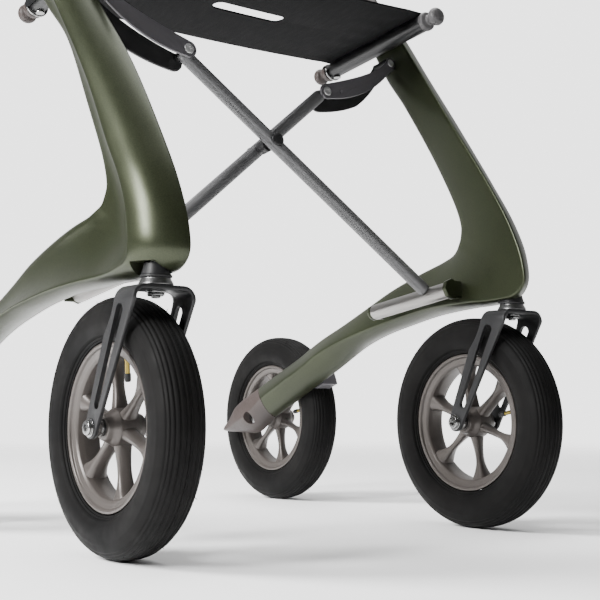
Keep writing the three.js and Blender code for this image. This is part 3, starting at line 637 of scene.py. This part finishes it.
def cone_prism(low, high, bottom, top, x_from, x_to):
    """A block that narrows upward, seen from the side, with the steering axis in its middle."""
    rings = []
    for x in (x_from, x_to):
        rings.append([(x, -TRAIL - bottom, low), (x, -TRAIL + bottom, low), (x, -TRAIL + top, high),
                      (x, -TRAIL - top, high)])
    return lofted(rings)


def build_side_frames():
    notch_top = CAP_TOP + 1.2
    mesh = boolean(
        "frame_shell_left", shell(LEG_TO_ARM, 190, lambda t: 3.4),
        turned(capped((21, 250), (12.8, notch_top)), STEERING_FOOT, UPWARD, 48),
        cone_prism(249, notch_top + 0.15, 21.3, 12.6, FRONT_WHEEL_X + 0.2, FRONT_WHEEL_X + 45),
        turned(capped((7, 248), (7, 332)), STEERING_FOOT, UPWARD, 24),
        rod(POST_RADIUS + 0.5, POST_FOOT - 118 * POST_AXIS, POST_FOOT + 60 * POST_AXIS, 32, 0.01))
    pair("frame_shell", mesh, "paint", "frame", ["side_frame"], 40)

    recess = rounded(capped((10.6, 228), (9.6, 246), (9.5, AXLE_HEAD)), 0.8)
    mesh = boolean("kerb_toe_left", shell(ARM_END, 60, lambda t: 3.0 * (1 - 0.6 * t)),
                   turned(capped((6.3, 200), (6.3, 300)), REAR_AXLE, OUTWARD, 24),
                   turned(recess, REAR_AXLE, OUTWARD, 40))
    pair("kerb_toe", mesh, "taupe", "frame", ["kerb_pedal"], 40)


# ---- steering heads and forks ----
def fork_edges(z):
    """Front and rear edge of a fork leg at a height."""
    axle = WHEEL_RADIUS
    if z < axle - 3:
        half = sqrt(max(11.0 ** 2 - (z - axle) ** 2, 0.3))
        return -half, half
    front = np.interp(z, [axle - 3, 246], [-10.5, -TRAIL - 17.5])
    rear_line = bezier([(-24, 214), (-TRAIL + 17.5, 238), (-TRAIL + 17.5, CROWN_TOP + 1)], 20)
    heights = [axle - 3, axle + 4.6] + [p[1] for p in rear_line]
    places = [10.7, 9.9] + [p[0] for p in rear_line]
    return front, np.interp(z, heights, places)


def on_steering(profile, segments=24, **more):
    return turned(profile, STEERING_FOOT, UPWARD, segments, **more)


def build_forks():
    middle = FORK_HALF_WIDTH - FORK_THICKNESS / 2
    corner = 13 - FORK_THICKNESS / 2
    top = CROWN_TOP - FORK_THICKNESS / 2
    path = [(middle, z, 0.0) for z in [*np.linspace(116.1, 127, 12), *np.linspace(130, top - corner, 50)]]
    for angle in np.linspace(0, pi / 2, 14)[1:]:
        path.append((middle + corner * (cos(angle) - 1), top + corner * (sin(angle) - 1), angle))
    path += [(x, top, pi / 2) for x in np.linspace(middle - corner, 0, 10)[1:]]
    path += [(-x, z, pi - angle) for x, z, angle in path[-2::-1]]
    ease = 1.3
    rings = []
    for x, z, angle in path:
        front, rear = fork_edges(min(z, CROWN_TOP - 0.5) if 0.01 < angle < pi - 0.01 else z)
        reach = FORK_THICKNESS / 2
        soft = min(ease, (rear - front) / 4)
        outline = [(reach, front + soft), (reach, rear - soft), (reach - soft * 0.3, rear - soft * 0.3),
                   (reach - soft, rear), (soft - reach, rear), (soft * 0.3 - reach, rear - soft * 0.3),
                   (-reach, rear - soft), (-reach, front + soft), (soft * 0.3 - reach, front + soft * 0.3),
                   (soft - reach, front), (reach - soft, front), (reach - soft * 0.3, front + soft * 0.3)]
        rings.append([(FRONT_WHEEL_X + x + out * cos(angle), y, z + out * sin(angle))
                      for out, y in outline])
    slot = (arc(-55, 236, 6.5, 0.45, pi + 0.1, 16)
            + arc(-12.5, 149, 4.5, pi + 0.45, 2 * pi + 0.45, 16))
    tool = lofted([[(x, y, z) for y, z in slot] for x in (FRONT_WHEEL_X - 60, FRONT_WHEEL_X + 60)])
    bore = on_steering(capped((6.3, 240), (6.3, 270)))
    pair("fork_bar", boolean("fork_bar_left", lofted(rings), tool, bore), "gunmetal", "fork",
         ["fork"], 38)

    cone = rounded([(6.9, CAP_BASE), (15.3, CAP_BASE), (15.3, CAP_BASE + 2.2), (14.2, CAP_BASE + 2.8),
                    (11.2, CAP_TOP), (6.9, CAP_TOP)], 0.6)
    pair("steering_cone", on_steering(cone, 56, closed=True), "black", "frame", ["steering_cap"])
    under = CROWN_TOP - FORK_THICKNESS
    shaft = capped((6, under - 0.3), (6, CROWN_TOP + 0.3), (16.0, CROWN_TOP + 0.3), (16.7, CROWN_TOP + 1.0),
                   (16.5, CROWN_TOP + 2.2), (14.2, CAP_BASE - 1.4), (14.0, CAP_BASE - 0.3),
                   (6, CAP_BASE - 0.3), (6, 325))
    pair("steering_ring", on_steering(rounded(shaft, 0.5), 56), "flange", "fork", ["fork_stem"])
    nut = rounded(capped((7.4, under - 5.2), (8.8, under - 4.2), (8.8, under - 1.4)), 0.3)
    washer = rounded(capped((9.8, under - 1.5), (9.8, under - 0.4)), 0.3)
    tip = rounded(capped((3.6, under - 7), (4.4, under - 6.4), (4.4, under - 5)), 0.4)
    pair("steering_nut", together(on_steering(nut, 6, turn=0.4), on_steering(washer, 32), on_steering(tip)),
         "silver", "fork", sharp=25)


# ---- wheels ----
def tyre_profile():
    """Half of the section, from the crown outward, with grooves round the tread, as (across, radius)."""
    base = [(0, 127), (5, 126.85), (10, 126.2), (14.5, 124.4), (18.5, 121.6), (21.7, 117.6), (24.2, 112),
            (25.7, 105.5), (25.9, 99.5), (24.6, 93.5), (22.0, 88.6), (19.0, 85.6), (16.4, 83.9), (15.2, 83.1)]
    line = [centripetal(base, t) for t in np.linspace(0, 1, 111)]
    everywhere, shoulder, bead = (0, 200), (100, 200), (0, 100)
    for place, depth, width, (lowest, highest) in (
            (3.2, 1.1, 0.9, everywhere), (8.8, 1.1, 0.9, everywhere), (13.6, 1.0, 0.9, everywhere),
            (17.4, 0.9, 0.8, everywhere), (20.3, 0.7, 0.7, everywhere), (24.9, -0.35, 0.5, shoulder),
            (22.6, -0.3, 0.5, bead)):
        for k, point in enumerate(line):
            if not lowest <= point[1] <= highest:
                continue
            pull = depth * exp(-((point[0] - place) / width) ** 2)
            inward = np.array([point[0] - 12.0, point[1] - 102.0]) if point[0] > 18 else np.array([0.0, 1.0])
            line[k] = point - pull * inward / norm(inward)
    return [(min(float(x), 25.98), min(float(r), 127.0)) for x, r in line]


def build_tyres():
    half = tyre_profile()
    section = [(r, x) for x, r in half] + [(r, -x) for x, r in half[:0:-1]]
    section += [(83.1, -14.0), (83.6, -8), (83.7, 0), (83.6, 8), (83.1, 14.0)]
    for end, seed in (("front", 7), ("rear", 11)):
        bodies = [turned(section, WHEELS[end], OUTWARD, 144, closed=True)]
        draw = random.Random(seed)
        for _ in range(22):
            turn = draw.uniform(0, 2 * pi)
            side = draw.choice((-1, 1))
            across_tread = side * draw.uniform(14.5, 19.0)
            radius = float(np.interp(abs(across_tread), [x for x, r in half[:80]], [r for x, r in half[:80]]))
            radial = np.array([0.0, cos(turn), sin(turn)])
            start = WHEELS[end] + radial * (radius - 0.6) + [across_tread, 0, 0]
            lean = radial + np.array([side * draw.uniform(0.3, 0.8), 0, 0])
            reach = lean / norm(lean) * draw.uniform(2.2, 3.6)
            # No moulding hair leaves the solid's box at the front, or meets the floor.
            if end == "front" and start[1] < -118 or start[2] < 9:
                continue
            length = norm(reach)
            bodies.append(turned([(0.35, 0), (0.28, length * 0.7), (0.1, length)], start, reach, 6))
        pair(f"{end}_tread", together(*bodies), "tyre", f"{end}_wheel", [f"{end}_tyre"], 50)


def spoke(turn):
    """A cast spoke, thick at the hub, waisted, and flared where it meets the barrel."""
    rings = []
    for r in np.linspace(13, 69.5, 30):
        t = (r - 13) / 56.5
        wide = 3.7 + 3.6 * (1 - t) ** 3 + 8.2 * max(0, (t - 0.5) / 0.5) ** 2.2
        deep = 9.5 - 2.6 * sin(pi * min(t * 1.05, 1)) + 2.2 * max(0, (t - 0.6) / 0.4) ** 2
        lean = 0.42 * sin(pi * t)
        c, s = cos(lean), sin(lean)
        ring = []
        for side, depth in oval(wide, deep, 28, 0.72):
            across_x, tangent = depth * c - side * s, depth * s + side * c
            ring.append((across_x, r * cos(turn) - tangent * sin(turn),
                         r * sin(turn) + tangent * cos(turn)))
        rings.append(ring)
    return lofted(rings)


def build_rims():
    upper = [(77.0, 8.0)] + rounded(
        [(82.4, 14.6), (82.4, 17.2), (81.4, 17.6), (79.6, 17.6), (78.4, 16.6), (77.6, 14.6), (72.0, 13.8),
         (69.6, 11.6), (68.4, 6.0), (68.0, 0.0)], 0.9, 3)
    section = upper + [(r, -x) for r, x in upper[::-1][1:]]
    half = [(8.6, HUB_HALF_WIDTH - 1), (12.4, HUB_HALF_WIDTH - 1), (13.4, 18), (14.4, 15), (18.6, 9)]
    hub = rounded([(r, -x) for r, x in half] + [(19.4, 0)] + half[::-1], 1.4)
    points, faces = together(
        turned(section, (0, 0, 0), OUTWARD, 112, closed=True),
        *[spoke(2 * pi * k / 6 + pi / 9) for k in range(6)],
        turned(hub, (0, 0, 0), OUTWARD, 56, closed=True))
    seal = turned(rounded([(6.3, -HUB_HALF_WIDTH), (8.4, -HUB_HALF_WIDTH), (8.4, HUB_HALF_WIDTH),
                           (6.3, HUB_HALF_WIDTH)], 0.4), (0, 0, 0), OUTWARD, 40, closed=True)
    stem = rounded(capped((3.1, 0), (3.1, 3), (2.5, 3.4), (2.5, 17)), 0.3)
    cap = rounded(capped((3.2, 0), (3.2, 7), (2.6, 8.5)), 0.5)
    for end, centre in WHEELS.items():
        pair(f"{end}_wheel_casting", (points + centre, faces), "rim", f"{end}_wheel",
             [f"{end}_rim"], 42)
        pair(f"{end}_bearing", (seal[0] + centre, seal[1]), "black", f"{end}_wheel")
        for side, turn in (("left", radians(168)), ("right", radians(98))):
            radial = np.array([0.0, cos(turn), sin(turn)])
            lean = radial * -1 + np.array([-0.12 * SIDES[side], 0, 0])
            base = centre * [SIDES[side], 1, 1] + radial * 68.6
            top = base + lean / norm(lean) * 16
            for name, profile, origin, look in (("valve", stem, base, "brass"),
                                                ("valve_cap", cap, top, "black")):
                piece(f"{end}_{name}_{side}", new_mesh(name, turned(profile, origin, lean, 24)), look,
                      f"{side}_{end}_wheel")


def build_axles():
    face = FORK_HALF_WIDTH + 0.3
    inside = FORK_HALF_WIDTH - FORK_THICKNESS - 0.3
    hub = HUB_HALF_WIDTH + 0.3
    body = capped((8.3, -inside), (8.3, -hub), (5.9, -hub), (5.9, hub), (8.3, hub), (8.3, inside))
    bodies = [turned(rounded(body, 0.4), WHEELS["front"], OUTWARD, 32)]
    washer = rounded(capped((9.2, face), (9.2, face + 1)), 0.3)
    head = rounded([(3.3, face + 0.6), (7.4, face + 0.6), (7.4, face + 3.6), (6.4, face + 4.6),
                    (3.3, face + 4.6)], 0.7)
    socket = capped((3.4, face + 0.8), (3.4, face + 2.2))
    for way in (-1, 1):
        bodies += [turned(washer, WHEELS["front"], (way, 0, 0), 40),
                   turned(head, WHEELS["front"], (way, 0, 0), 40, closed=True),
                   turned(socket, WHEELS["front"], (way, 0, 0), 6)]
    pair("front_axle_bolt", together(*bodies), "silver", "fork", ["front_axle"])
    head = AXLE_HEAD - 0.3
    low, high = REAR_WHEEL_X - HUB_HALF_WIDTH - 0.3, REAR_WHEEL_X + HUB_HALF_WIDTH + 0.3
    body = capped((7.6, head - 4), (8.8, head - 3), (8.8, head), (5.9, head), (5.9, 277), (8.8, 277),
                  (8.8, low), (5.9, low), (5.9, high), (8.8, high), (8.8, high + 1.4), (7.4, high + 3))
    pair("rear_axle_bolt", turned(rounded(body, 0.5), REAR_AXLE, OUTWARD, 40), "silver", "frame",
         ["rear_axle"])


# ---- folding cross brace ----
def build_brace():
    for name, side, at in (("front", 1, FRONT_TUBE_AT), ("rear", -1, REAR_TUBE_AT)):
        direction = np.array([-side * cos(FOLD_ANGLE), TUBE_RAKE / BRACE_LENGTH, sin(FOLD_ANGLE)])
        foot = np.array([side * PIVOT_X, at - TUBE_RAKE, PIVOT_HEIGHT])
        start = PIVOT_TUBE_RADIUS + 0.4
        length = BRACE_LENGTH - start
        tube = rounded(capped((BRACE_RADIUS - 0.3, 0), (BRACE_RADIUS, 1), (BRACE_RADIUS, length - 3),
                              (6.4, length + 2.6)), 1.5)
        tube = turned(tube, foot + direction * start, direction, 48)
        piece(f"brace_tube_{name}", new_mesh("brace_tube", tube, at_brace), "tube", f"{name}_brace",
              [f"cross_tube_{name}"])
        boss = turned(rounded(capped((5.4, -11.3), (5.4, 11.3)), 0.5),
                      foot + direction * (BRACE_LENGTH - 1), REARWARD, 32)
        piece(f"brace_eye_{name}", new_mesh("brace_eye", boss, at_brace), "silver", f"{name}_brace")
    height = PIVOT_HEIGHT + HALF_BRACE * sin(FOLD_ANGLE)
    reach = BRACE_RADIUS + 1.2
    front, rear = (at - TUBE_RAKE * (1 - HALF_BRACE / BRACE_LENGTH) for at in (FRONT_TUBE_AT, REAR_TUBE_AT))
    first, middle, last = front - reach, (front + rear) / 2, rear + reach
    pin = rounded([(AXIS, first - 2.8), (5.4, first - 3.5), (7.4, first - 2.6), (8.5, first - 1.2),
                   (8.5, first), (3.9, first), (3.9, front + reach), (8, front + reach), (8, middle - 0.5),
                   (7.4, middle), (8, middle + 0.5), (8, rear - reach), (3.9, rear - reach), (3.9, last),
                   (7.5, last), (7.5, last + 2.4), (5.4, last + 4), (AXIS, last + 4)], 0.5)
    piece("brace_rivet", new_mesh("brace_rivet", turned(pin, (0, 0, height), REARWARD, 40), at_brace),
          "gunmetal", "front_brace", ["cross_pivot_pin"])

    low, high = PIVOT_TUBE
    origin = (PIVOT_X, 0, PIVOT_HEIGHT)
    tube = capped((9.4, low), (PIVOT_TUBE_RADIUS, low + 1), (PIVOT_TUBE_RADIUS, high - 1), (9.4, high),
                  (7.6, high), (7.2, high - 5))
    tube = turned(rounded(tube, 0.6), origin, REARWARD, 48)
    head = capped((5.2, high - 4.6), (5.2, high - 1.8), (3.2, high - 1))
    screw = together(turned(rounded(head, 0.6), origin, REARWARD, 32),
                     turned(capped((2.4, high - 1.6), (2.4, high - 0.8)), origin, REARWARD, 6))
    for side, body in (("left", "front_brace"), ("right", "rear_brace")):
        for name, (points, faces), look, nodes in (
                ("hinge_tube", tube, "brushed", [f"pivot_tube_{side}"]),
                ("hinge_screw", screw, "silver", [])):
            mesh = new_mesh(name, (points * [SIDES[side], 1, 1], faces), at_brace)
            piece(f"{name}_{side}", mesh, look, body, nodes)
    for base, look in (("pivot_bracket_front", "paint"), ("pivot_bracket_rear", "paint"),
                       ("link_bracket", "black")):
        eased_pair(base, f"{base}_body", look, "frame", 0.7)


# ---- seat links ----
def build_links():
    head = np.array([(BRACE_LENGTH - HALF_BRACE) * cos(FOLD_ANGLE),
                     PIVOT_HEIGHT + BRACE_LENGTH * sin(FOLD_ANGLE)])
    pin = np.array(LINK_PIN)
    length = norm(pin - head)
    lean = atan2(*(pin - head)[::-1])
    quarter = pi / 2
    front = (arc(0, 0, 7.5, -quarter, quarter)
             + bezier([(0, 7.5), (-20, -9), (-90, 3), (-length, 10)], 24)[1:]
             + arc(-length, 0, 10, quarter, 3 * quarter)[1:]
             + bezier([(-length, -10), (-length / 2, -34), (0, -7.5)], 24)[1:-1])
    corner = 8 * cos(pi / 4)
    rear = (arc(0, 0, 8, -pi / 4, quarter)
            + bezier([(0, 8), (-20, -10), (-90, -6), (-length, 4)], 24)[1:]
            + bezier([(-length - 8, 0), (-length - 14, -12), (-length - 3, -18)], 8)
            + bezier([(-length - 3, -18), (-length * 0.75, -31), (-length * 0.5, -32)], 14)[1:]
            + bezier([(-length * 0.5, -32), (-length * 0.2, -26), (corner, -corner)], 14)[1:-1])
    vent = arc(22 - length, -8, 2.0, 0, 2 * pi, 16)[:-1]

    def placed(side):
        def place(points):
            u, v, depth = points.T
            x = pin[0] + u * cos(lean) - v * sin(lean)
            height = pin[1] + u * sin(lean) + v * cos(lean)
            return at_brace(np.stack([SIDES[side] * x, depth, height], 1))
        return place

    for side, at in (("right", FRONT_TUBE_AT), ("left", REAR_TUBE_AT)):
        face, back = at - PLATE_OFFSET - PLATE_THICKNESS, at + PLATE_OFFSET
        for name, outline, holes, low, look in (
                ("front", front, [vent] * (side == "left"), face, "plate"),
                ("rear", rear, [], back, "black")):
            plate = flat_plate(outline, holes, low, low + PLATE_THICKNESS, 0.6)
            piece(f"link_plate_{name}_{side}", new_mesh("link_plate", plate, placed(side)), look,
                  f"{side}_link", [f"link_{name}_{side}"])
        bolts = []
        for u, size in ((0.0, 5.2), (-length, 6.0)):
            dome = rounded([(size * 0.42, -0.2), (size, -0.2), (size, 0.5), (size * 0.85, 0.9),
                            (size * 0.42, 0.95)], 0.3)
            socket = capped((size * 0.44, -0.1), (size * 0.44, 0.5))
            for start, way in ((face, -1), (back + PLATE_THICKNESS, 1)):
                bolts += [turned(dome, (u, 0, start), (0, 0, way), 32, closed=True),
                          turned(socket, (u, 0, start), (0, 0, way), 6)]
        piece(f"link_bolts_{side}", new_mesh("link_bolts", together(*bolts), placed(side)), "zinc",
              f"{side}_link")


# ---- seat rails and sling ----
RAIL_AXIS = (RAIL_REAR - RAIL_FRONT) / norm(RAIL_REAR - RAIL_FRONT)
RAIL_UP = np.cross([1.0, 0.0, 0.0], RAIL_AXIS)
RAIL_FROM = RAIL_FRONT + RAIL_INSET * RAIL_AXIS
RAIL_TO = RAIL_REAR - RAIL_INSET * RAIL_AXIS
SEAT_DEPTH = norm(RAIL_TO - RAIL_FROM) - 4.0


def build_rails():
    pair("rail_tube", rod(RAIL_RADIUS, RAIL_FROM, RAIL_TO, 48, 1.0), "rail", "frame",
         ["seat_rail"])
    knob = rounded([(AXIS, 0.3), (11.4, 0.3), (12.2, 1.2), (12.2, 6.2), (11.2, 7.4), (6.6, 9.3), (6.0, 13.0),
                    (7.2, 15.2), (10.4, 17.6), (11.8, 21.5), (11.0, 25.4), (8.6, 28.2), (4.5, 29.8),
                    (AXIS, 30)], 1.2)
    for name, origin, direction, look in (("rear", RAIL_TO, RAIL_AXIS, "taupe"),
                                          ("front", RAIL_FROM, -RAIL_AXIS, "knob")):
        pair(f"rail_end_{name}", turned(knob, origin, direction, 48), look, "frame",
             [f"rail_knob_{name}"])


def build_rail_hooks():
    """A bent wire hook under the rear end of each rail, where the folded frame is held shut."""
    middle = RAIL_TO - 5 * RAIL_AXIS
    out = np.array([1.0, 0.0, 0.0])
    line = [middle + (RAIL_RADIUS + 1.9) * (out * cos(t) + RAIL_UP * sin(t))
            for t in np.radians(np.linspace(-20, -170, 26))]
    curl = line[-1] - 4 * out
    line += [curl + 4 * (out * cos(t) + RAIL_UP * sin(t)) - RAIL_AXIS * 5 * k / 14
             for k, t in enumerate(np.radians(np.linspace(10, 200, 14)), 1)]
    wire = swept(line, lambda t: oval(1.5, 1.5, 14), RAIL_AXIS)
    pad = turned(rounded(capped((5.2, 0), (5.2, 2.4)), 0.6),
                 middle - (RAIL_RADIUS + 2.4) * RAIL_UP - 8 * RAIL_AXIS, RAIL_UP, 28)
    pair("rail_hook", together(wire, pad), "silver", "frame")


def seat_point(x, along, lift):
    """A point on the sling: x across, along from the front edge rearward, lift above its lower face."""
    share = min(abs(x) / SEAT_SPAN, 1.0)
    drop = SEAT_SAG * max(0.0, 1 - share ** 2)
    edge = min(along, SEAT_DEPTH - along) / SEAT_DEPTH
    drop += 1.1 * sin(pi * min(edge * 2, 1)) * max(0.0, 1 - share ** 4)
    ripple = 0.35 * sin(along * 0.19 + 0.6) * exp(-((SEAT_SPAN - abs(x)) / 34.0) ** 2)
    height = RAIL_RADIUS + 0.4 - drop + ripple * (share < 1.0) + lift
    turn = 0.0
    beyond = abs(x) - RAIL_FRONT[0]
    base = RAIL_FROM + RAIL_AXIS * (2 + along)
    if beyond > 0:
        turn = beyond / (RAIL_RADIUS + 1.2)
        out = (RAIL_RADIUS + 0.4 + lift) * sin(turn)
        height = (RAIL_RADIUS + 0.4 + lift) * cos(turn)
        return (copysign(RAIL_FRONT[0] + out, x), *(base + RAIL_UP * height)[1:])
    return (x, *(base + RAIL_UP * height)[1:])


def seat_slot(x, along):
    """Signed distance in millimetres from the rim of the hand slot, below 0 inside it."""
    return hypot(max(abs(x - SLOT_MIDDLE[0]) - SLOT_HALF, 0.0), along - SLOT_MIDDLE[1]) - SLOT_RADIUS


def build_seat():
    wrap = RAIL_FRONT[0] + radians(112) * (RAIL_RADIUS + 1.2)
    left, right = SLOT_MIDDLE[0] - SLOT_HALF, SLOT_MIDDLE[0] + SLOT_HALF
    for side, way in SIDES.items():
        xs = np.concatenate([np.linspace(0, 96, 65), np.linspace(99, SEAT_SPAN, 40),
                             np.linspace(SEAT_SPAN + 2, wrap, 26)]) * way
        alongs = np.concatenate([np.linspace(0, 78, 40), np.linspace(79.2, 109, 40),
                                 np.linspace(111, SEAT_DEPTH, 46)])
        work = bmesh.new()
        top, bottom = {}, {}
        for i, x in enumerate(xs):
            for j, along in enumerate(alongs):
                gap = seat_slot(x, along)
                puff = 0.55 * (min(along, SEAT_DEPTH - along) < HEM) + 0.45 * (0 <= gap < 7.5)
                place_x, place_along = x, along
                if abs(gap) < 1.0:
                    # Points near the rim of the slot move onto it.
                    away = np.array([x - min(max(x, left), right), along - SLOT_MIDDLE[1]])
                    away /= max(norm(away), 1e-6)
                    place_along = along - away[1] * gap
                    if abs(x) >= 1e-6:
                        place_x = x - away[0] * gap
                for layer, lift in ((top, SLING_THICKNESS + puff), (bottom, 0.0)):
                    layer[i, j] = work.verts.new(at_chassis([seat_point(place_x, place_along, lift)])[0])
        cells = {(i, j): seat_slot((xs[i] + xs[i + 1]) / 2, (alongs[j] + alongs[j + 1]) / 2) > 0
                 for i in range(len(xs) - 1) for j in range(len(alongs) - 1)}
        for (i, j), solid in cells.items():
            if not solid:
                continue
            ring = [(i, j), (i + 1, j), (i + 1, j + 1), (i, j + 1)]
            work.faces.new([top[k] for k in ring])
            work.faces.new([bottom[k] for k in ring[::-1]])
            around = ((i, j - 1), (i + 1, j), (i, j + 1), (i - 1, j))
            for a, b, near in zip(ring, ring[1:] + ring[:1], around):
                if not cells.get(near, False):
                    work.faces.new([top[a], bottom[a], bottom[b], top[b]])
        loose = [v for v in work.verts if not v.link_faces]
        bmesh.ops.delete(work, geom=loose, context="VERTS")
        bmesh.ops.recalc_face_normals(work, faces=work.faces)
        mesh = filled(bpy.data.meshes.new(f"sling_{side}"), work)
        sling = piece(f"sling_{side}", mesh, "fabric", f"{side}_frame", ["seat_sling"], 50)
        anchor = tuple(at_chassis([(way * RAIL_FRONT[0], 160.0, 631.0)])[0])
        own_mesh(sling)

        stitches = []
        span, depth = (2.0, SEAT_SPAN - 2), (4.0, SEAT_DEPTH - 4.0)
        rim = (2.0, SLOT_HALF + way * SLOT_MIDDLE[0])
        runs = [((x0, along), (x1, along)) for along, (x0, x1) in (
            (HEM - 2.0, span), (SEAT_DEPTH - HEM + 2.0, span),
            (SLOT_MIDDLE[1] - SLOT_RADIUS - 5, rim), (SLOT_MIDDLE[1] + SLOT_RADIUS + 5, rim))]
        runs += [((x, depth[0]), (x, depth[1])) for x in (SEAT_SPAN - 3, SEAT_SPAN - 9)]
        for start, end in np.array(runs):
            count = int(norm(end - start) / 4.2)
            for k in range(count):
                line = []
                for t, lift in ((0.18, -0.1), (0.5, 0.25), (0.82, -0.1)):
                    u, v = start + (end - start) * (k + t) / count
                    line.append(np.array(seat_point(way * u, v, SLING_THICKNESS + 0.55 + lift)))
                beside = np.cross(line[2] - line[0], RAIL_UP)
                stitches.append(swept(line, lambda t: oval(0.38, 0.38, 6), beside / norm(beside)))
        thread = piece(f"sling_stitching_{side}", new_mesh("stitching", together(*stitches)), "thread",
                       f"{side}_frame")
        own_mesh(thread)


# ---- handles and brakes ----
def build_handles():
    reach = lambda height: (height - POST_FOOT[2]) / POST_AXIS[2]
    start = POST_FOOT + POST_AXIS * reach(HANDLE_HEIGHT - 33)
    corner = POST_FOOT + POST_AXIS * reach(HANDLE_HEIGHT)
    end = corner + [0, norm(corner - start), 0]
    path = [POST_FOOT - 90 * POST_AXIS, *np.linspace(POST_FOOT, start, 8)[:-1],
            *bezier([start, corner, end], 18), np.array([POST_FOOT[0], 500.0, HANDLE_HEIGHT])]
    pair("post_tube", swept(path, lambda t: oval(POST_RADIUS, POST_RADIUS, 40)), "taupe", "handle",
         ["handle_post"])

    collar = rounded([(POST_RADIUS + 0.5, 0.6), (18, 0.6), (19, 2.2), (18.6, 12), (17.5, 14.4), (18.1, 16.4),
                      (17.4, 20.6), (POST_RADIUS + 0.5, 20.6)], 0.8)
    button_axis = np.array([0.0, POST_AXIS[2], -POST_AXIS[1]])
    middle = POST_FOOT + 10.6 * POST_AXIS
    mesh = boolean("collar_left", turned(collar, POST_FOOT, POST_AXIS, 56, closed=True),
                   rod(5.5, middle + 5 * button_axis, middle + 30 * button_axis, 32, 0.05))
    pair("collar", mesh, "taupe", "frame", ["post_collar"], 38)
    button = rounded([(AXIS, 0), (5, 0), (5, 7), (7, 7.6), (7, 10), (5.6, 11.3), (AXIS, 10.6)], 0.7)
    pair("release_button", turned(button, middle + 16 * button_axis, button_axis, 40), "silver",
         "button", ["height_button"])

    # The sleeve: the blind bore over the end of the post, then the ridged outside.
    profile = [(AXIS, 500.5), (13.0, 500.5), (13.0, 398.4), (16.0, 398.2)]
    for k in range(121):
        t = k / 120
        ridge = 0.35 * sin(2 * pi * (t * 22)) if 0.12 < t < 0.86 else 0.0
        profile.append((16.4 + 1.6 * sin(pi * t) + ridge - 3.0 * max(0, (t - 0.94) / 0.06) ** 2,
                        398.6 + 109 * t))
    profile += [(8.0, 507.9), (AXIS, 508)]
    pair("grip_sleeve", turned(profile, (POST_FOOT[0], 0, HANDLE_HEIGHT), REARWARD, 48), "rubber",
         "handle", ["grip"], 60)

    lever = [(386, 838), (389, 831.5), (393, 827), (398, 823), (404, 820), (412, 818), (420, 817),
             (437, 815.6), (455, 815), (472, 814.8), (488, 815.4), (496, 817)]
    path = [(POST_FOOT[0], y, z) for y, z in lever]

    def section(t):
        taper = 1 - 0.75 * max(0.0, (t - 0.95) / 0.05) ** 2
        return oval((4.2 + 0.5 * min(t * 3, 1)) * taper, 3.9 * taper, 24, 0.8)
    blade = swept([centripetal(path, t) for t in np.linspace(0, 1, 46)], section)
    pair("lever_blade", blade, "black", "lever", ["brake_lever"])
    eased_pair("lever_housing", "lever_clamp", "black", "handle", 0.8)
    eased_pair("brake_shoe", "brake_block", "plate", "brake", 1.0)


set_up_studio()
build_side_frames()
build_forks()
build_tyres()
build_rims()
build_axles()
build_brace()
build_links()
build_rails()
build_rail_hooks()
build_seat()
build_handles()
